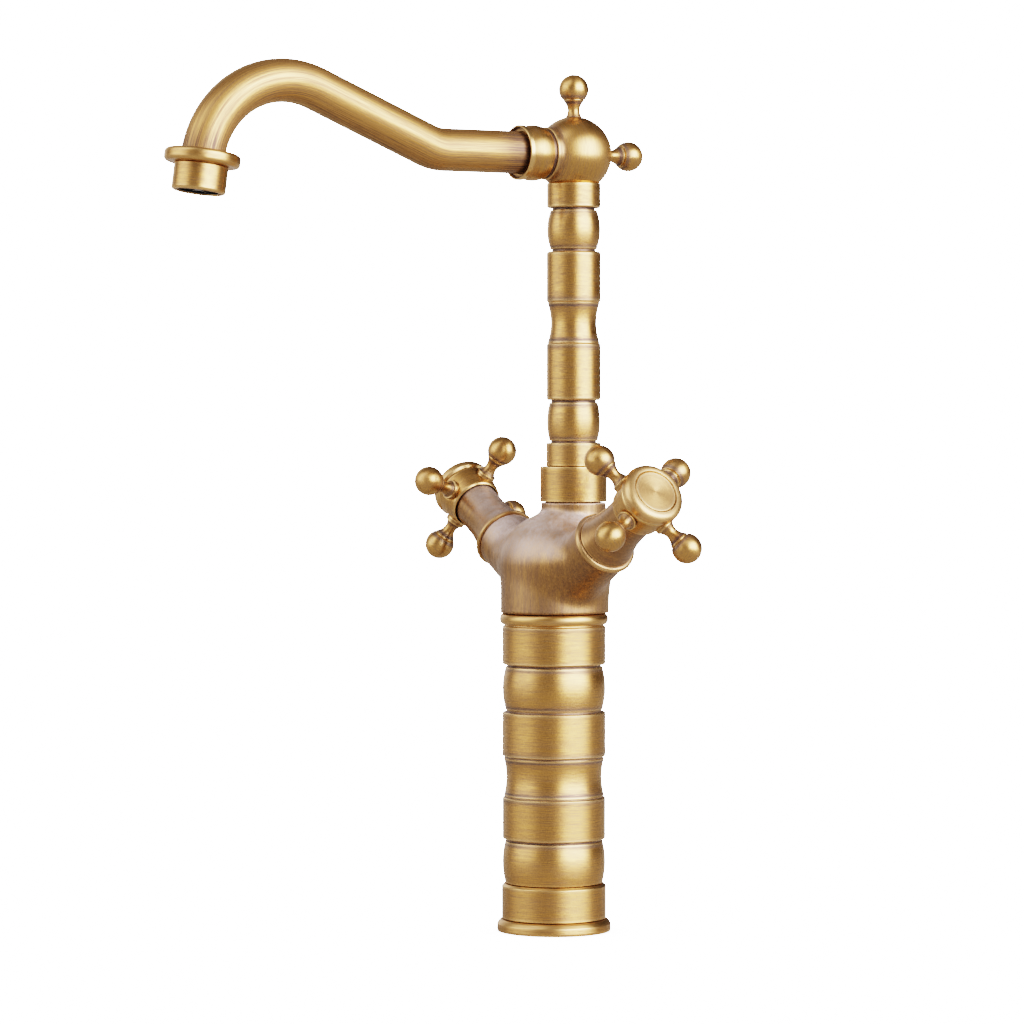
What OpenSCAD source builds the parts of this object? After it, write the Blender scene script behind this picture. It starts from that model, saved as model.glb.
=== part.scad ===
// Tall two-handle basin mixer with a turned riser, a turned swivel column and a swan-neck spout.
// Z is up, the spout points to -Y at rest, and the origin is the mouth of the central stud hole,
// level with the underside of the deck gasket.

/* [Deck] */
// Diameter of the round deck flange
flange_d = 56; // [52:1:66]
// Thickness of the deck flange
flange_h = 5; // [4:0.5:8]
// Thickness of the rubber deck gasket
gasket_h = 1.2; // [0.8:0.2:2]
// Tapping bore of the M8 stud thread
stud_bore_d = 6.8; // [6:0.2:7.4]
// Depth of the stud thread
stud_depth = 13; // [10:1:14]
// Tapping bore of the M10x1 hose threads
inlet_bore_d = 9; // [8:0.25:9.5]
// Depth of the hose threads
inlet_depth = 9; // [7:1:9]
// Thickness of the brass base insert
insert_h = 16; // [15:1:22]

/* [Riser] */
// Largest diameter of the turned riser
riser_d = 50.6; // [41:0.2:52]
// Wall of the riser at its largest diameter
riser_wall = 4.9; // [4:0.1:5]
// Height of the plain collar at the foot of the riser
collar_h = 17; // [14:1:22]
// Height of the turned bands of the riser
riser_bands_h = 126.8; // [100:1:160]
// Height of the half-round bead under the mixer body
bead_h = 5.4; // [4:0.2:7]
// How far the riser screws into the mixer body
riser_thread_h = 8; // [6:1:10]

/* [Mixer body] */
// Diameter of the mixer body above the bead
body_d = 52.4; // [50:0.2:56]
// Height of the mixer body from the bead to its top face
body_h = 54; // [50:1:60]
// Height of the point where the handle axes meet, above the foot of the mixer body
apex_h = 8.8; // [7:0.2:11]
// Diameter of the two handle necks
neck_d = 29.6; // [28:0.2:31]
// Outer diameter of the supply tubes inside the riser
supply_d = 8; // [6:0.5:9]
// Wall of the supply tubes
supply_wall = 1; // [0.8:0.1:1.5]

/* [Column] */
// How far the column stands behind the riser axis
column_back = 11.3; // [8:0.1:12]
// Diameter of the turned column
column_d = 26.5; // [24:0.2:28]
// Height of the turned bands of the column
column_bands_h = 138.9; // [110:1:170]
// Bore of the column
column_bore_d = 16; // [12:0.5:17]
// Diameter of the swivel spigot
spigot_d = 16; // [14:0.5:18]
// Length of the swivel spigot inside the mixer body
spigot_h = 26; // [22:1:28]
// Wall of the swivel spigot
spigot_wall = 2.5; // [2:0.1:3]
// How far the retaining collar stands out from the column
collar_stand = 3.15; // [3:0.05:4]
// Height of the retaining collar
retainer_h = 17.3; // [16:0.1:20]

/* [Head and spout] */
// Diameter of the ball head
head_d = 37.2; // [35:0.2:42]
// Outer diameter of the spout tube
tube_d = 20.6; // [16:0.2:22]
// Wall of the spout tube
tube_wall = 1.2; // [1:0.1:2]
// Length of the level run from the head to the first bend
level_run = 74.2; // [60:1:90]
// Slope of the rising run in degrees
rise_angle = 22.2; // [18:0.5:28]
// Centre line radius of the first bend
first_bend_r = 25; // [22:1:40]
// Length of the rising run
rise_run = 65; // [50:1:80]
// Centre line radius of the crook
crook_r = 43.8; // [36:0.5:52]
// Angle between the nozzle and the vertical
nozzle_lean = 8; // [5:0.5:16]
// Straight length from the crook to the tip of the nozzle
nozzle_run = 16.2; // [15:0.2:24]
// Diameter of the aerator housing
housing_d = 25.4; // [24:0.2:28]
// Height of the aerator housing
housing_h = 12.8; // [12:0.2:15]
// Diameter of the round-edged ring on the nozzle
nozzle_ring_d = 35.8; // [32:0.4:40]
// Thickness of that ring
nozzle_ring_h = 6.2; // [5:0.2:8]

/* [Handles] */
// Rise of the handle axes above the horizontal in degrees
handle_tilt = 30; // [25:1:34]
// Distance from the apex to the end of each neck, along the handle axis
neck_reach = 52; // [50:0.5:58]
// Distance from the end of the neck to the plane of the cross arms
cross_rise = 40; // [38:0.5:46]
// Radius at which the knob balls stand
cross_r = 29.3; // [28:0.1:34]
// Diameter of the knob balls
ball_d = 14.6; // [12:0.1:15]
// Diameter of the hub at its front
hub_d = 29.2; // [28:0.2:32]
// Diameter of the rounded cap ring
cap_d = 30.8; // [29:0.2:34]
// Diameter of the disc inside the cap ring
index_d = 21.8; // [20:0.2:23]
// Diameter of the valve cartridge
cartridge_d = 16; // [14:0.5:17]
// Diameter of the valve spindle
spindle_d = 6; // [5:0.2:7]
// Angle of the cold cross about its axis at rest, in degrees
cold_cross_turn = 35; // [0:5:85]
// Angle of the hot cross about its axis at rest, in degrees
hot_cross_turn = 20.5; // [0:0.5:85]

/* [Fits] */
// Radial clearance between pieces that turn in each other
run_fit = 0.05; // [0.02:0.01:0.08]
// Radial clearance between pieces that are screwed or pressed together
seat_fit = 0.05; // [0.02:0.01:0.1]
// Visible shadow gap between stacked pieces
shadow_gap = 0.4; // [0.2:0.1:0.8]

/* [Hidden] */
$fn = 96;
tiny = 0.01;
arc_steps = 8;

// Levels of the stack, from the deck up
flange_top = gasket_h + flange_h;
rim_foot = 0.3;
collar_foot = flange_top + shadow_gap;
bands_foot = collar_foot + collar_h + shadow_gap;
bead_foot = bands_foot + riser_bands_h;
body_foot = bead_foot + bead_h + 0.2;
body_top = body_foot + body_h;
apex_z = body_foot + apex_h;

// Riser and what fits in it
riser_r = riser_d / 2;
riser_bore_r = riser_r - riser_wall;
riser_spigot_r = riser_bore_r + 1.6;
insert_spigot_r = riser_bore_r - 1.5;
flange_r = flange_d / 2;
gasket_r = flange_r - 3.5;
inlet_wall = 1.6;
inlet_x = insert_spigot_r - inlet_bore_d / 2 - inlet_wall;
supply_r = supply_d / 2;
socket_depth = 5;
seal_r = 0.85;
seal_ring_r = supply_r + seal_r + 0.05;
seal_seat_r = seal_ring_r + seal_r + 0.05;
cavity_top = body_foot + riser_thread_h + 1.4;
socket_top = cavity_top + socket_depth;

// Swivel
retainer_foot = body_top + shadow_gap;
retainer_top = retainer_foot + retainer_h;
upstand_h = 7.8;
upstand_top = body_top + upstand_h;
washer_h = 1;
shoulder_foot = upstand_top + washer_h + run_fit;
shoulder_h = 2;
lip_foot = shoulder_foot + shoulder_h + run_fit;
journal_r = column_d / 2 + 0.1;
retainer_r = column_d / 2 + collar_stand;
turret_r = retainer_r - 0.5;
upstand_r = journal_r + 1.1;
column_foot = retainer_top + 0.1;
column_top = column_foot + column_bands_h;
spigot_r = spigot_d / 2;
waterway_r = spigot_r - spigot_wall;
spigot_foot = shoulder_foot - spigot_h;
chamber_foot = spigot_foot - 4;

// Head and spout union, measured along -Y from the centre of the ball
head_r = head_d / 2;
head_seat = head_r - 4.7;
head_z = column_top + head_seat;
head_spigot_h = 8;
tube_r = tube_d / 2;
stub_r = tube_r + 1.3;
stub_end = head_r + 8.4;
stub_ring_foot = head_r - 4.6;
stub_ring_end = head_r - 2;
nut_foot = head_r - 0.4;
nut_end = head_r + 11;
union_ring_end = nut_end + 2.9;
union_r = stub_r + 1.9;
union_lip = 0.9;
union_seal_h = 1.4;
tube_foot = head_r - 2.6;
finial_foot = head_r - 1;

// Crook of the spout, in the plane of the column axis
crook_angle = rise_angle + 90 - nozzle_lean;
level_y = column_back - level_run;
rise_y = level_y - first_bend_r * sin(rise_angle);
rise_z = head_z + first_bend_r * (1 - cos(rise_angle));
crook_y = rise_y - rise_run * cos(rise_angle);
crook_z = rise_z + rise_run * sin(rise_angle);
crook_centre_y = crook_y - crook_r * sin(rise_angle);
crook_centre_z = crook_z - crook_r * cos(rise_angle);
drop_y = crook_centre_y - crook_r * cos(nozzle_lean);
drop_z = crook_centre_z + crook_r * sin(nozzle_lean);
tip_y = drop_y - nozzle_run * sin(nozzle_lean);
tip_z = drop_z - nozzle_run * cos(nozzle_lean);
tube_end = housing_h - 3.8;
swage = 0.03;
swage_lap = 0.6;
bend_room = 0.14;
ring_foot = housing_h + 0.1;

// Stations along a handle axis, measured from the apex
neck_end = neck_reach;
cross_t = neck_reach + cross_rise;
seat_t = neck_reach - 29.7;
cartridge_foot = seat_t + 0.6;
disc_foot = cartridge_foot + 0.1;
disc_h = 3;
moving_foot = disc_foot + disc_h + run_fit;
moving_h = 2.75;
driver_foot = moving_foot + moving_h + run_fit;
driver_h = 2.2;
chamber_top = driver_foot + driver_h + run_fit;
hex_h = 5;
gland_end = neck_end + 22;
ring_h = 2.8;
bonnet_foot = neck_end + ring_h + 0.3;
bonnet_end = cross_t - 5.7;
hub_foot = cross_t - 7.1;
hub_end = cross_t + 6.2;
cap_foot = hub_end + 0.35;
cap_end = cap_foot + 6.4;
index_foot = cap_end - 1.8;
spindle_head_foot = cross_t - 14;
spindle_end = cross_t - 1.5;
screw_seat = cross_t + 2;
recess_foot = cross_t + 3;
spindle_r = spindle_d / 2;
spindle_head_r = spindle_r + 1;
screw_r = 2.05;
cartridge_r = cartridge_d / 2;
disc_r = cartridge_r - 1.1;
gland_r = spindle_r + 3.2;
hex_r = cartridge_r + 1.6;
bonnet_r = 11.4;
knob_foot_r = 4.9;
knob_spigot_r = 2;
knob_length = 14.2;
hub_flat = cross_r - knob_length - 2.1;

// Turned bands: length, inset of the ends, inset of the middle, edge chamfer (negative in a groove)
riser_bands = [
    [20.4, 1.4, 0.1, 0.3], [1.2, 2.1, 2.1, -0.1], [20.4, 0.1, 0.1, 0.4], [0.8, 1.1, 1.1, -0.1],
    [18.4, 0.7, 1.9, 0.1], [1, 1.2, 1.2, -0.1], [21.6, 0, 0, 0.4], [1.2, 2, 2, -0.1],
    [21, 1.6, 0.1, 0.3], [1.2, 2.3, 2.3, -0.1], [19, 0, 0, 0.6], [0.6, 1.1, 1.1, -0.1]];
column_bands = [
    [11.5, -0.1, -0.1, 0.3], [1.1, 2.1, 2.1, -0.1], [18.6, 1.4, 0.2, 0.3], [1.2, 2.2, 2.2, -0.1],
    [28.1, 0, 0, 0.8], [19.8, 0.4, 2.1, 0.1], [25, 0, 0, 0.8], [1.2, 2.6, 2.6, -0.1],
    [19, 1.9, 0.2, 0.3], [1.2, 2.8, 2.8, -0.1], [12.3, 0.1, 0.1, 0.6]];

function band_start(bands, i) = i == 0 ? 0 : band_start(bands, i - 1) + bands[i - 1][0];
function straight_band(b, r, z, h) =
    let (rr = r - b[1], c = abs(b[3]))
    [[rr - b[3], z], [rr, z + c], [rr, z + h - c], [rr - b[3], z + h]];
function curved_band(b, r, z, h) = [
    for (j = [0 : arc_steps])
        [r - b[1] + (b[1] - b[2]) * (1 - pow(2 * j / arc_steps - 1, 2)), z + h * j / arc_steps]];
function band_outline(bands, r, z0, k) = [
    for (i = [0 : len(bands) - 1])
        let (b = bands[i], z = z0 + k * band_start(bands, i), h = k * b[0])
        for (p = b[1] == b[2] ? straight_band(b, r, z, h) : curved_band(b, r, z, h)) p];
function band_total(bands) = band_start(bands, len(bands));

// ---- frames and shared shapes ----

// A straight cylinder between two levels
module rod(r, z0, z1) translate([0, 0, z0]) cylinder(r = r, h = z1 - z0);

// A plain ring between two levels
module ring(r_out, r_in, z0, z1) difference() {
    rod(r_out, z0, z1);
    rod(r_in, z0 - 1, z1 + 1);
}

// A turned solid from its outline, closed on the axis
module turned(points) rotate_extrude()
    polygon(concat([[0, points[0][1]]], points, [[0, points[len(points) - 1][1]]]));

// A round-section rubber ring at one level
module seal_ring(r_ring, r_section, z) translate([0, 0, z])
    rotate_extrude() translate([r_ring, 0]) circle(r = r_section, $fn = 32);

// Frame of one handle: local Z runs out along the handle axis; side is 1 for cold, -1 for hot
module handle_frame(side) translate([0, 0, apex_z]) rotate([0, side * (90 - handle_tilt), 0])
    children();

// Frame of the column axis
module column_frame() translate([0, column_back, 0]) children();

// Frame of the head: local Z runs along -Y from the centre of the ball
module head_frame() translate([0, column_back, head_z]) rotate([90, 0, 0]) children();

// Frame of the nozzle: local Z runs up the nozzle axis from its tip
module nozzle_frame() translate([0, tip_y, tip_z]) rotate([-nozzle_lean, 0, 0]) children();

// A ball knob on a waisted stem, standing on its foot at z = 0, with a threaded spigot below
module knob(foot_drop) {
    ball_r = ball_d / 2;
    cut = ball_r * 0.66;
    stem = knob_length - cut - 0.5;
    waist_r = 2.9;
    stem_points = [for (j = [0 : 12]) let (t = j / 12)
        [waist_r + (knob_foot_r - waist_r) * pow(abs(2 * t - 0.9), 1.9) * 0.96, stem * t]];
    union() {
        turned(concat([[knob_foot_r, -foot_drop]], [[knob_foot_r, 0]], stem_points,
            [[4.9, stem + 0.05], [4.9, stem + 0.4], [4.5, stem + 0.5]]));
        intersection() {
            translate([0, 0, knob_length]) sphere(r = ball_r);
            rod(ball_r + 1, stem + 0.5, knob_length + ball_r + 1);
        }
        rod(knob_spigot_r, -foot_drop - 5, -foot_drop + 0.5);
    }
}

// ---- deck and riser ----

module deck_gasket() color("#2b2b2b") ring(gasket_r, insert_spigot_r + 0.1, 0, gasket_h);

module deck_flange() color("#a8803c") difference() {
    turned([[flange_r - 0.4, rim_foot], [flange_r, rim_foot + 0.4], [flange_r, flange_top - 3],
        [flange_r - 0.5, flange_top - 1.4], [flange_r - 1.4, flange_top - 0.4],
        [flange_r - 2.4, flange_top]]);
    rod(gasket_r + 0.2, 0, gasket_h);
    rod(insert_spigot_r + 0.1, 0, flange_top + 1);
}

module base_insert() color("#b08d4c") difference() {
    union() {
        rod(insert_spigot_r, 0, insert_h);
        rod(riser_bore_r - seat_fit, flange_top, insert_h);
    }
    rod(stud_bore_d / 2, -1, stud_depth);
    for (side = [-1, 1]) translate([side * inlet_x, 0, 0]) {
        rod(inlet_bore_d / 2, -1, inlet_depth);
        rod(supply_r - supply_wall, inlet_depth - tiny, insert_h);
        rod(supply_r + seat_fit, insert_h - socket_depth, insert_h + 1);
        rod(seal_seat_r, insert_h - 2, insert_h + 1);
    }
}

module base_collar() color("#a8803c") difference() {
    turned([[riser_r + 0.1, collar_foot], [riser_r + 0.3, collar_foot + 0.3],
        [riser_r + 0.3, collar_foot + collar_h - 1.1], [riser_r - 0.9, collar_foot + collar_h]]);
    rod(riser_spigot_r + seat_fit, 0, bands_foot);
}

module riser_tube() color("#b0863f") difference() {
    union() {
        rod(riser_spigot_r, flange_top, body_foot + riser_thread_h);
        turned(band_outline(riser_bands, riser_r, bands_foot,
            riser_bands_h / band_total(riser_bands)));
    }
    rod(riser_bore_r, 0, body_foot + riser_thread_h + 1);
}

module rim_bead() color("#b0863f") difference() {
    half = bead_h / 2;
    turned([for (j = [0 : 10]) let (a = 18 * j - 90)
        [body_d / 2 - 1.6 + 2 * cos(a), bead_foot + half + half * sin(a)]]);
    rod(riser_spigot_r + seat_fit, 0, body_foot + 1);
}

module supply_tube(side) color("#b87333") translate([side * inlet_x, 0, 0])
    ring(supply_r, supply_r - supply_wall, insert_h - socket_depth + 0.2, socket_top - 0.2);

module supply_tube_seals() color("#1d1d1d") for (side = [-1, 1])
    translate([side * inlet_x, 0, 0]) {
        seal_ring(seal_ring_r, seal_r, insert_h - 1);
        seal_ring(seal_ring_r, seal_r, cavity_top + 1);
    }

// ---- mixer body ----

module mixer_body() color("#9c7a45") difference() {
    shoulder_z = body_foot + 0.42 * body_h;
    dome_h = body_h * 0.44;
    union() {
        turned(concat([[body_d / 2 - 0.3, body_foot], [body_d / 2, body_foot + 0.5]],
            [for (j = [0 : arc_steps]) let (a = 80 * j / arc_steps)
                [turret_r + (body_d / 2 - turret_r) * cos(a), shoulder_z + dome_h * sin(a)]]));
        column_frame() {
            rod(turret_r, shoulder_z, body_top);
            rod(upstand_r, body_top - tiny, upstand_top);
            translate([0, 0, shoulder_z])
                cylinder(r1 = turret_r + 5, r2 = turret_r + 0.05, h = body_top - shoulder_z - 4);
        }
        for (side = [-1, 1]) handle_frame(side) {
            rod(neck_d / 2, 6, neck_end);
            translate([0, 0, 12]) cylinder(r1 = neck_d / 2 + 4.5, r2 = neck_d / 2, h = 27);
        }
    }
    rod(body_d, 0, body_foot);
    rod(riser_spigot_r + seat_fit, body_foot - 1, body_foot + riser_thread_h + 0.4);
    rod(riser_bore_r, body_foot - 1, cavity_top);
    column_frame() rod(spigot_r + run_fit, chamber_foot, upstand_top + 1);
    for (side = [-1, 1]) {
        translate([side * inlet_x, 0, 0]) {
            rod(seal_seat_r, cavity_top - 1, cavity_top + 2);
            rod(supply_r + seat_fit, cavity_top - 1, socket_top);
            rod(supply_r - supply_wall, cavity_top, socket_top + 3);
        }
        handle_frame(side) {
            rod(supply_r, inlet_x / cos(handle_tilt) - 3, seat_t + 1);
            rod(cartridge_r + seat_fit, seat_t, neck_end + 1);
        }
        gallery(side);
    }
}

// Drilled way from a cartridge's outlet to the chamber under the column
module gallery(side) {
    from = [side * (seat_t + 6) * cos(handle_tilt), 0, apex_z + (seat_t + 6) * sin(handle_tilt)];
    to = [0, column_back, chamber_foot + 4];
    run = to - from;
    translate(from)
        rotate([0, acos(run[2] / norm(run)), atan2(run[1], run[0])])
            cylinder(r = supply_r - supply_wall, h = norm(run));
}

// ---- swivel, column and head ----

module thrust_washer() color("#efeee8") column_frame()
    ring(upstand_r - 0.4, spigot_r + 0.25, upstand_top, upstand_top + washer_h);

module retaining_collar() color("#a8803c") column_frame() difference() {
    turned([[retainer_r - 0.5, retainer_foot], [retainer_r, retainer_foot + 0.4],
        [retainer_r, retainer_top - 0.4], [retainer_r - 0.5, retainer_top]]);
    rod(upstand_r + seat_fit, retainer_foot - 1, lip_foot);
    rod(journal_r + run_fit, retainer_foot, retainer_top + 1);
}

module column_tube() color("#b0863f") column_frame() difference() {
    union() {
        rod(spigot_r, spigot_foot, shoulder_foot + tiny);
        rod(upstand_r - 0.25, shoulder_foot, shoulder_foot + shoulder_h);
        rod(journal_r, shoulder_foot + shoulder_h - tiny, column_foot + 0.2);
        turned(band_outline(column_bands, column_d / 2, column_foot,
            column_bands_h / band_total(column_bands)));
        rod(spigot_r, column_top - tiny, column_top + head_spigot_h);
    }
    rod(waterway_r, spigot_foot - 1, column_top + head_spigot_h + 1);
    rod(column_bore_d / 2, column_foot + 2, column_top - 2);
    for (z = [spigot_foot + 6, spigot_foot + 14]) translate([0, 0, z])
        ring(spigot_r + 1, spigot_r - 1.15, -0.95, 0.95);
}

module spigot_seals() color("#1d1d1d") column_frame()
    for (z = [spigot_foot + 6, spigot_foot + 14]) seal_ring(spigot_r - 0.55, 0.56, z);

module head_ball() color("#b0863f") difference() {
    union() {
        head_frame() {
            sphere(r = head_r);
            rod(stub_r + 1.3, stub_ring_foot, stub_ring_end);
            rod(stub_r, 6, stub_end);
        }
    }
    column_frame() {
        rod(2 * head_r, column_top - 2 * head_r, column_top);
        rod(spigot_r + seat_fit, column_top - 1, column_top + head_spigot_h + 0.4);
        rod(waterway_r, column_top, head_z + 2);
        translate([0, 0, head_z]) finial_seat();
    }
    head_frame() {
        rod(waterway_r, -1, stub_end + 1);
        rod(tube_r + seat_fit, tube_foot - 0.2, stub_end + 1);
    }
    translate([0, column_back, head_z]) rotate([-90, 0, 0]) finial_seat();
}

// Spot face and threaded hole for a finial, measured up from the centre of the ball
module finial_seat() {
    rod(knob_foot_r + 0.1, finial_foot, head_r + 1);
    rod(knob_spigot_r + seat_fit, finial_foot - 5.4, head_r);
}

module top_finial() color("#b0863f")
    translate([0, column_back, head_z + finial_foot]) knob(0);

module back_finial() color("#b0863f")
    translate([0, column_back + finial_foot, head_z]) rotate([-90, 0, 0]) knob(0);

module union_nut() color("#a8803c") head_frame() difference() {
    turned([for (j = [0 : arc_steps]) let (t = j / arc_steps)
        [union_r - 0.8 * pow(2 * t - 1, 2), nut_foot + (nut_end - nut_foot) * t]]);
    rod(stub_r + seat_fit, nut_foot - 1, stub_end + union_seal_h + 0.1);
    rod(tube_r + 0.1, nut_foot, nut_end + 1);
}

module union_ring() color("#c9a765") head_frame() difference() {
    turned([[union_r - 0.6, nut_end + 0.2], [union_r - 0.1, nut_end + 0.6],
        [union_r - 0.1, union_ring_end - 0.5], [union_r - 0.4, union_ring_end]]);
    rod(tube_r + 0.1, nut_end, union_ring_end);
    rod(union_r - 0.1 - union_lip, nut_end + 1, union_ring_end + 1);
}

module union_seal() color("#1d1d1d") head_frame()
    ring(stub_r - 0.1, tube_r + 0.1, stub_end, stub_end + union_seal_h);

// ---- spout ----

// One bend of the spout, from a heading of `from` degrees above the level, turning to `to` degrees
module spout_bend(centre_y, centre_z, bend_r, from, to, r) translate([0, centre_y, centre_z])
    rotate([90, 0, -90]) rotate([0, 0, from < to ? -90 : 90 + to])
        rotate_extrude(angle = abs(to - from)) translate([bend_r, 0]) circle(r = r);

// The spout tube's path as one solid of radius r, whose open ends run on by `over`. The bends are
// swaged a hair larger, so that each straight run ends inside the bend that it meets
module spout_path(r, over) {
    bend_r = r + swage;
    head_frame() rod(r, tube_foot - over, level_run + swage_lap);
    spout_bend(level_y, head_z + first_bend_r, first_bend_r, 0, rise_angle, bend_r);
    translate([0, rise_y, rise_z]) rotate([90 - rise_angle, 0, 0])
        rod(r, -swage_lap, rise_run + swage_lap);
    spout_bend(crook_centre_y, crook_centre_z, crook_r, rise_angle, nozzle_lean - 90, bend_r);
    nozzle_frame() rod(r, tube_end - over, nozzle_run + swage_lap);
}

module spout_tube() color("#b48a45") difference() {
    spout_path(tube_r, 0);
    spout_path(tube_r - tube_wall, 0.5);
}

module nozzle_ring() color("#a8803c") nozzle_frame() difference() {
    edge_r = nozzle_ring_h / 3;
    turned([for (j = [0 : 13]) let (upper = j > 6, a = 15 * (upper ? j - 1 : j) - 90)
        [nozzle_ring_d / 2 - edge_r + edge_r * cos(a),
            ring_foot + (upper ? nozzle_ring_h - edge_r : edge_r) + edge_r * sin(a)]]);
    rod(tube_r + bend_room, 0, ring_foot + nozzle_ring_h + 1);
}

module nozzle_housing() color("#a8803c") nozzle_frame() difference() {
    turned([[housing_d / 2 - 1.2, 0], [housing_d / 2 - 0.35, 0.35], [housing_d / 2, 1.2],
        [housing_d / 2, housing_h - 0.3], [housing_d / 2 - 0.3, housing_h]]);
    rod(housing_d / 2 - 1.7, -1, tube_end - 0.1);
    rod(tube_r + seat_fit, 1, housing_h + 1);
}

module aerator_washer() color("#1d1d1d") nozzle_frame()
    ring(housing_d / 2 - 1.8, tube_r - tube_wall, tube_end - 1.7, tube_end - 0.2);

module aerator_screen() color("#c8c8c4") nozzle_frame() difference() {
    rod(housing_d / 2 - 1.8, tube_end - 2.3, tube_end - 1.8);
    for (row = [1 : 3], j = [0 : 6 * row - 1]) rotate([0, 0, 60 * j / row])
        translate([row * 2.4, 0, 0]) rod(0.8, 0, tube_end);
}

module aerator_insert() color("#3a3b3d") nozzle_frame() {
    outer = housing_d / 2 - 1.8;
    ring(outer, outer - 1.6, 0.6, tube_end - 2.4);
    rod(2, 1, tube_end - 2.6);
    for (j = [0 : 5]) rotate([0, 0, 60 * j])
        translate([1.5, -0.4, 1]) cube([outer - 2.6, 0.8, tube_end - 4]);
}

// ---- handle pieces, each for one side ----

module seat_seal(side) color("#1d1d1d") handle_frame(side)
    ring(cartridge_r - 0.1, supply_r, seat_t, cartridge_foot);

module fixed_disc(side) color("#e8e4da") handle_frame(side) difference() {
    rod(disc_r - 0.05, disc_foot, disc_foot + disc_h);
    for (a = [0, 180]) rotate([0, 0, a]) translate([disc_r / 2, 0, 0]) rod(1.7, 0, neck_end);
}

module cartridge(side) color("#b89555") handle_frame(side) difference() {
    union() {
        rod(cartridge_r, cartridge_foot, neck_end + tiny);
        translate([0, 0, neck_end]) cylinder(r = hex_r, h = hex_h, $fn = 6);
        rod(gland_r, neck_end + hex_h - tiny, gland_end);
    }
    rod(disc_r, cartridge_foot - 1, chamber_top);
    rod(spindle_r + run_fit, cartridge_foot, gland_end + 1);
    for (a = [0, 180]) rotate([0, 0, a]) translate([0, 0, moving_foot + 1.4])
        rotate([0, 90, 0]) rod(1.2, disc_r - 1, cartridge_r + 1);
}

module neck_ring(side) color("#a8803c") handle_frame(side) difference() {
    lip = neck_d / 2 + 1.2;
    turned([[lip - 1.2, neck_end], [lip - 0.3, neck_end + 0.3], [lip, neck_end + 1],
        [lip - 0.1, neck_end + 1.7], [lip - 0.9, neck_end + ring_h - 0.2], [lip - 1.5, neck_end + ring_h]]);
    rod(hex_r + 0.3, neck_end - 1, neck_end + ring_h + 1);
}

module bonnet(side) color("#9c7a45") handle_frame(side) difference() {
    flare = neck_d / 2 - 0.7 - bonnet_r;
    turned(concat([for (j = [0 : 10]) let (t = j / 10)
        [bonnet_r + flare * pow(1 - t, 2), bonnet_foot + 20 * t]], [[bonnet_r, bonnet_end]]));
    rod(hex_r + 0.3, neck_end, neck_end + hex_h + 3);
    rod(gland_r + seat_fit, neck_end, bonnet_end);
    rod(bonnet_r - 1.6, gland_end - 4, bonnet_end + 1);
}

module moving_disc(side) color("#f2efe6") handle_frame(side) difference() {
    rod(disc_r - 0.15, moving_foot, moving_foot + moving_h);
    translate([-1.5, -disc_r, moving_foot - 1]) cube([3, disc_r - 0.8, 2.4]);
}

module spindle(side) color("#c0a060") handle_frame(side) difference() {
    union() {
        rod(disc_r - 0.15, driver_foot, driver_foot + driver_h);
        rod(spindle_r, driver_foot + driver_h - tiny, spindle_head_foot + tiny);
        rod(spindle_head_r, spindle_head_foot, spindle_end);
    }
    rod(screw_r + seat_fit, spindle_head_foot + 1, spindle_end + 1);
    for (t = [gland_end - 12, gland_end - 6]) translate([0, 0, t])
        ring(spindle_r + 1, spindle_r - 0.7, -0.55, 0.55);
}

module spindle_seals(side) color("#1d1d1d") handle_frame(side)
    for (t = [gland_end - 12, gland_end - 6])
        ring(spindle_r + 0.02, spindle_r - 0.68, t - 0.45, t + 0.45);

module hub(side) color("#a8803c") handle_frame(side) difference() {
    rear_r = hub_d / 2 - 1.5;
    union() {
        turned([[rear_r - 0.7, hub_foot], [rear_r, hub_foot + 0.7], [hub_d / 2 - 0.5, cross_t],
            [hub_d / 2, hub_end - 0.6], [hub_d / 2 - 0.5, hub_end]]);
        rod(bonnet_r - 3, hub_foot - 4.9, hub_foot + 4);
    }
    ring(bonnet_r + 0.7, bonnet_r - 3, hub_foot - 1, hub_foot + 3.1);
    rod(spindle_head_r + seat_fit, 0, spindle_end + 0.3);
    rod(screw_r + 0.5, cross_t - 3, hub_end);
    rod(5.2, screw_seat, hub_end + 1);
    rod(index_d / 2 + 0.1, recess_foot, hub_end + 1);
    cross_frame(side) for (j = [0 : 3]) rotate([0, 0, 90 * j]) rotate([0, 90, 0]) {
        rod(knob_foot_r + 0.1, hub_flat, hub_d);
        rod(knob_spigot_r + seat_fit, hub_flat - 5.3, hub_d);
    }
}

// Plane of the cross arms inside a handle frame, turned to the rest angle of that handle
module cross_frame(side) translate([0, 0, cross_t])
    rotate([0, 0, side > 0 ? cold_cross_turn : hot_cross_turn]) children();

module handle_screw(side) color("#8d7440") handle_frame(side) difference() {
    union() {
        rod(screw_r, spindle_head_foot + 2, screw_seat + tiny);
        rod(4.6, screw_seat, screw_seat + 2.4);
    }
    translate([0, 0, screw_seat + 1]) cylinder(r = 2.3, h = 3, $fn = 6);
}

module cap_ring(side) color("#b8924d") handle_frame(side) difference() {
    cap_r = cap_d / 2;
    round_r = 3.4;
    union() {
        turned(concat([[cap_r - 1.2, cap_foot], [cap_r, cap_foot + 1]],
            [for (j = [0 : arc_steps]) let (a = 90 * j / arc_steps)
                [cap_r - round_r + round_r * cos(a), cap_end - round_r + round_r * sin(a)]]));
        rod(index_d / 2 + 0.05, recess_foot + 0.1, cap_foot + tiny);
    }
    rod(index_d / 2 - 1.6, 0, cap_end + 1);
    rod(index_d / 2 + seat_fit, index_foot, cap_end + 1);
}

module index_disc(side) color("#c2a06a") handle_frame(side)
    turned([[index_d / 2, index_foot], [index_d / 2, cap_end - 0.5], [index_d / 2 - 0.3, cap_end - 0.2],
        [0.5, cap_end - 0.6]]);

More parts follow.
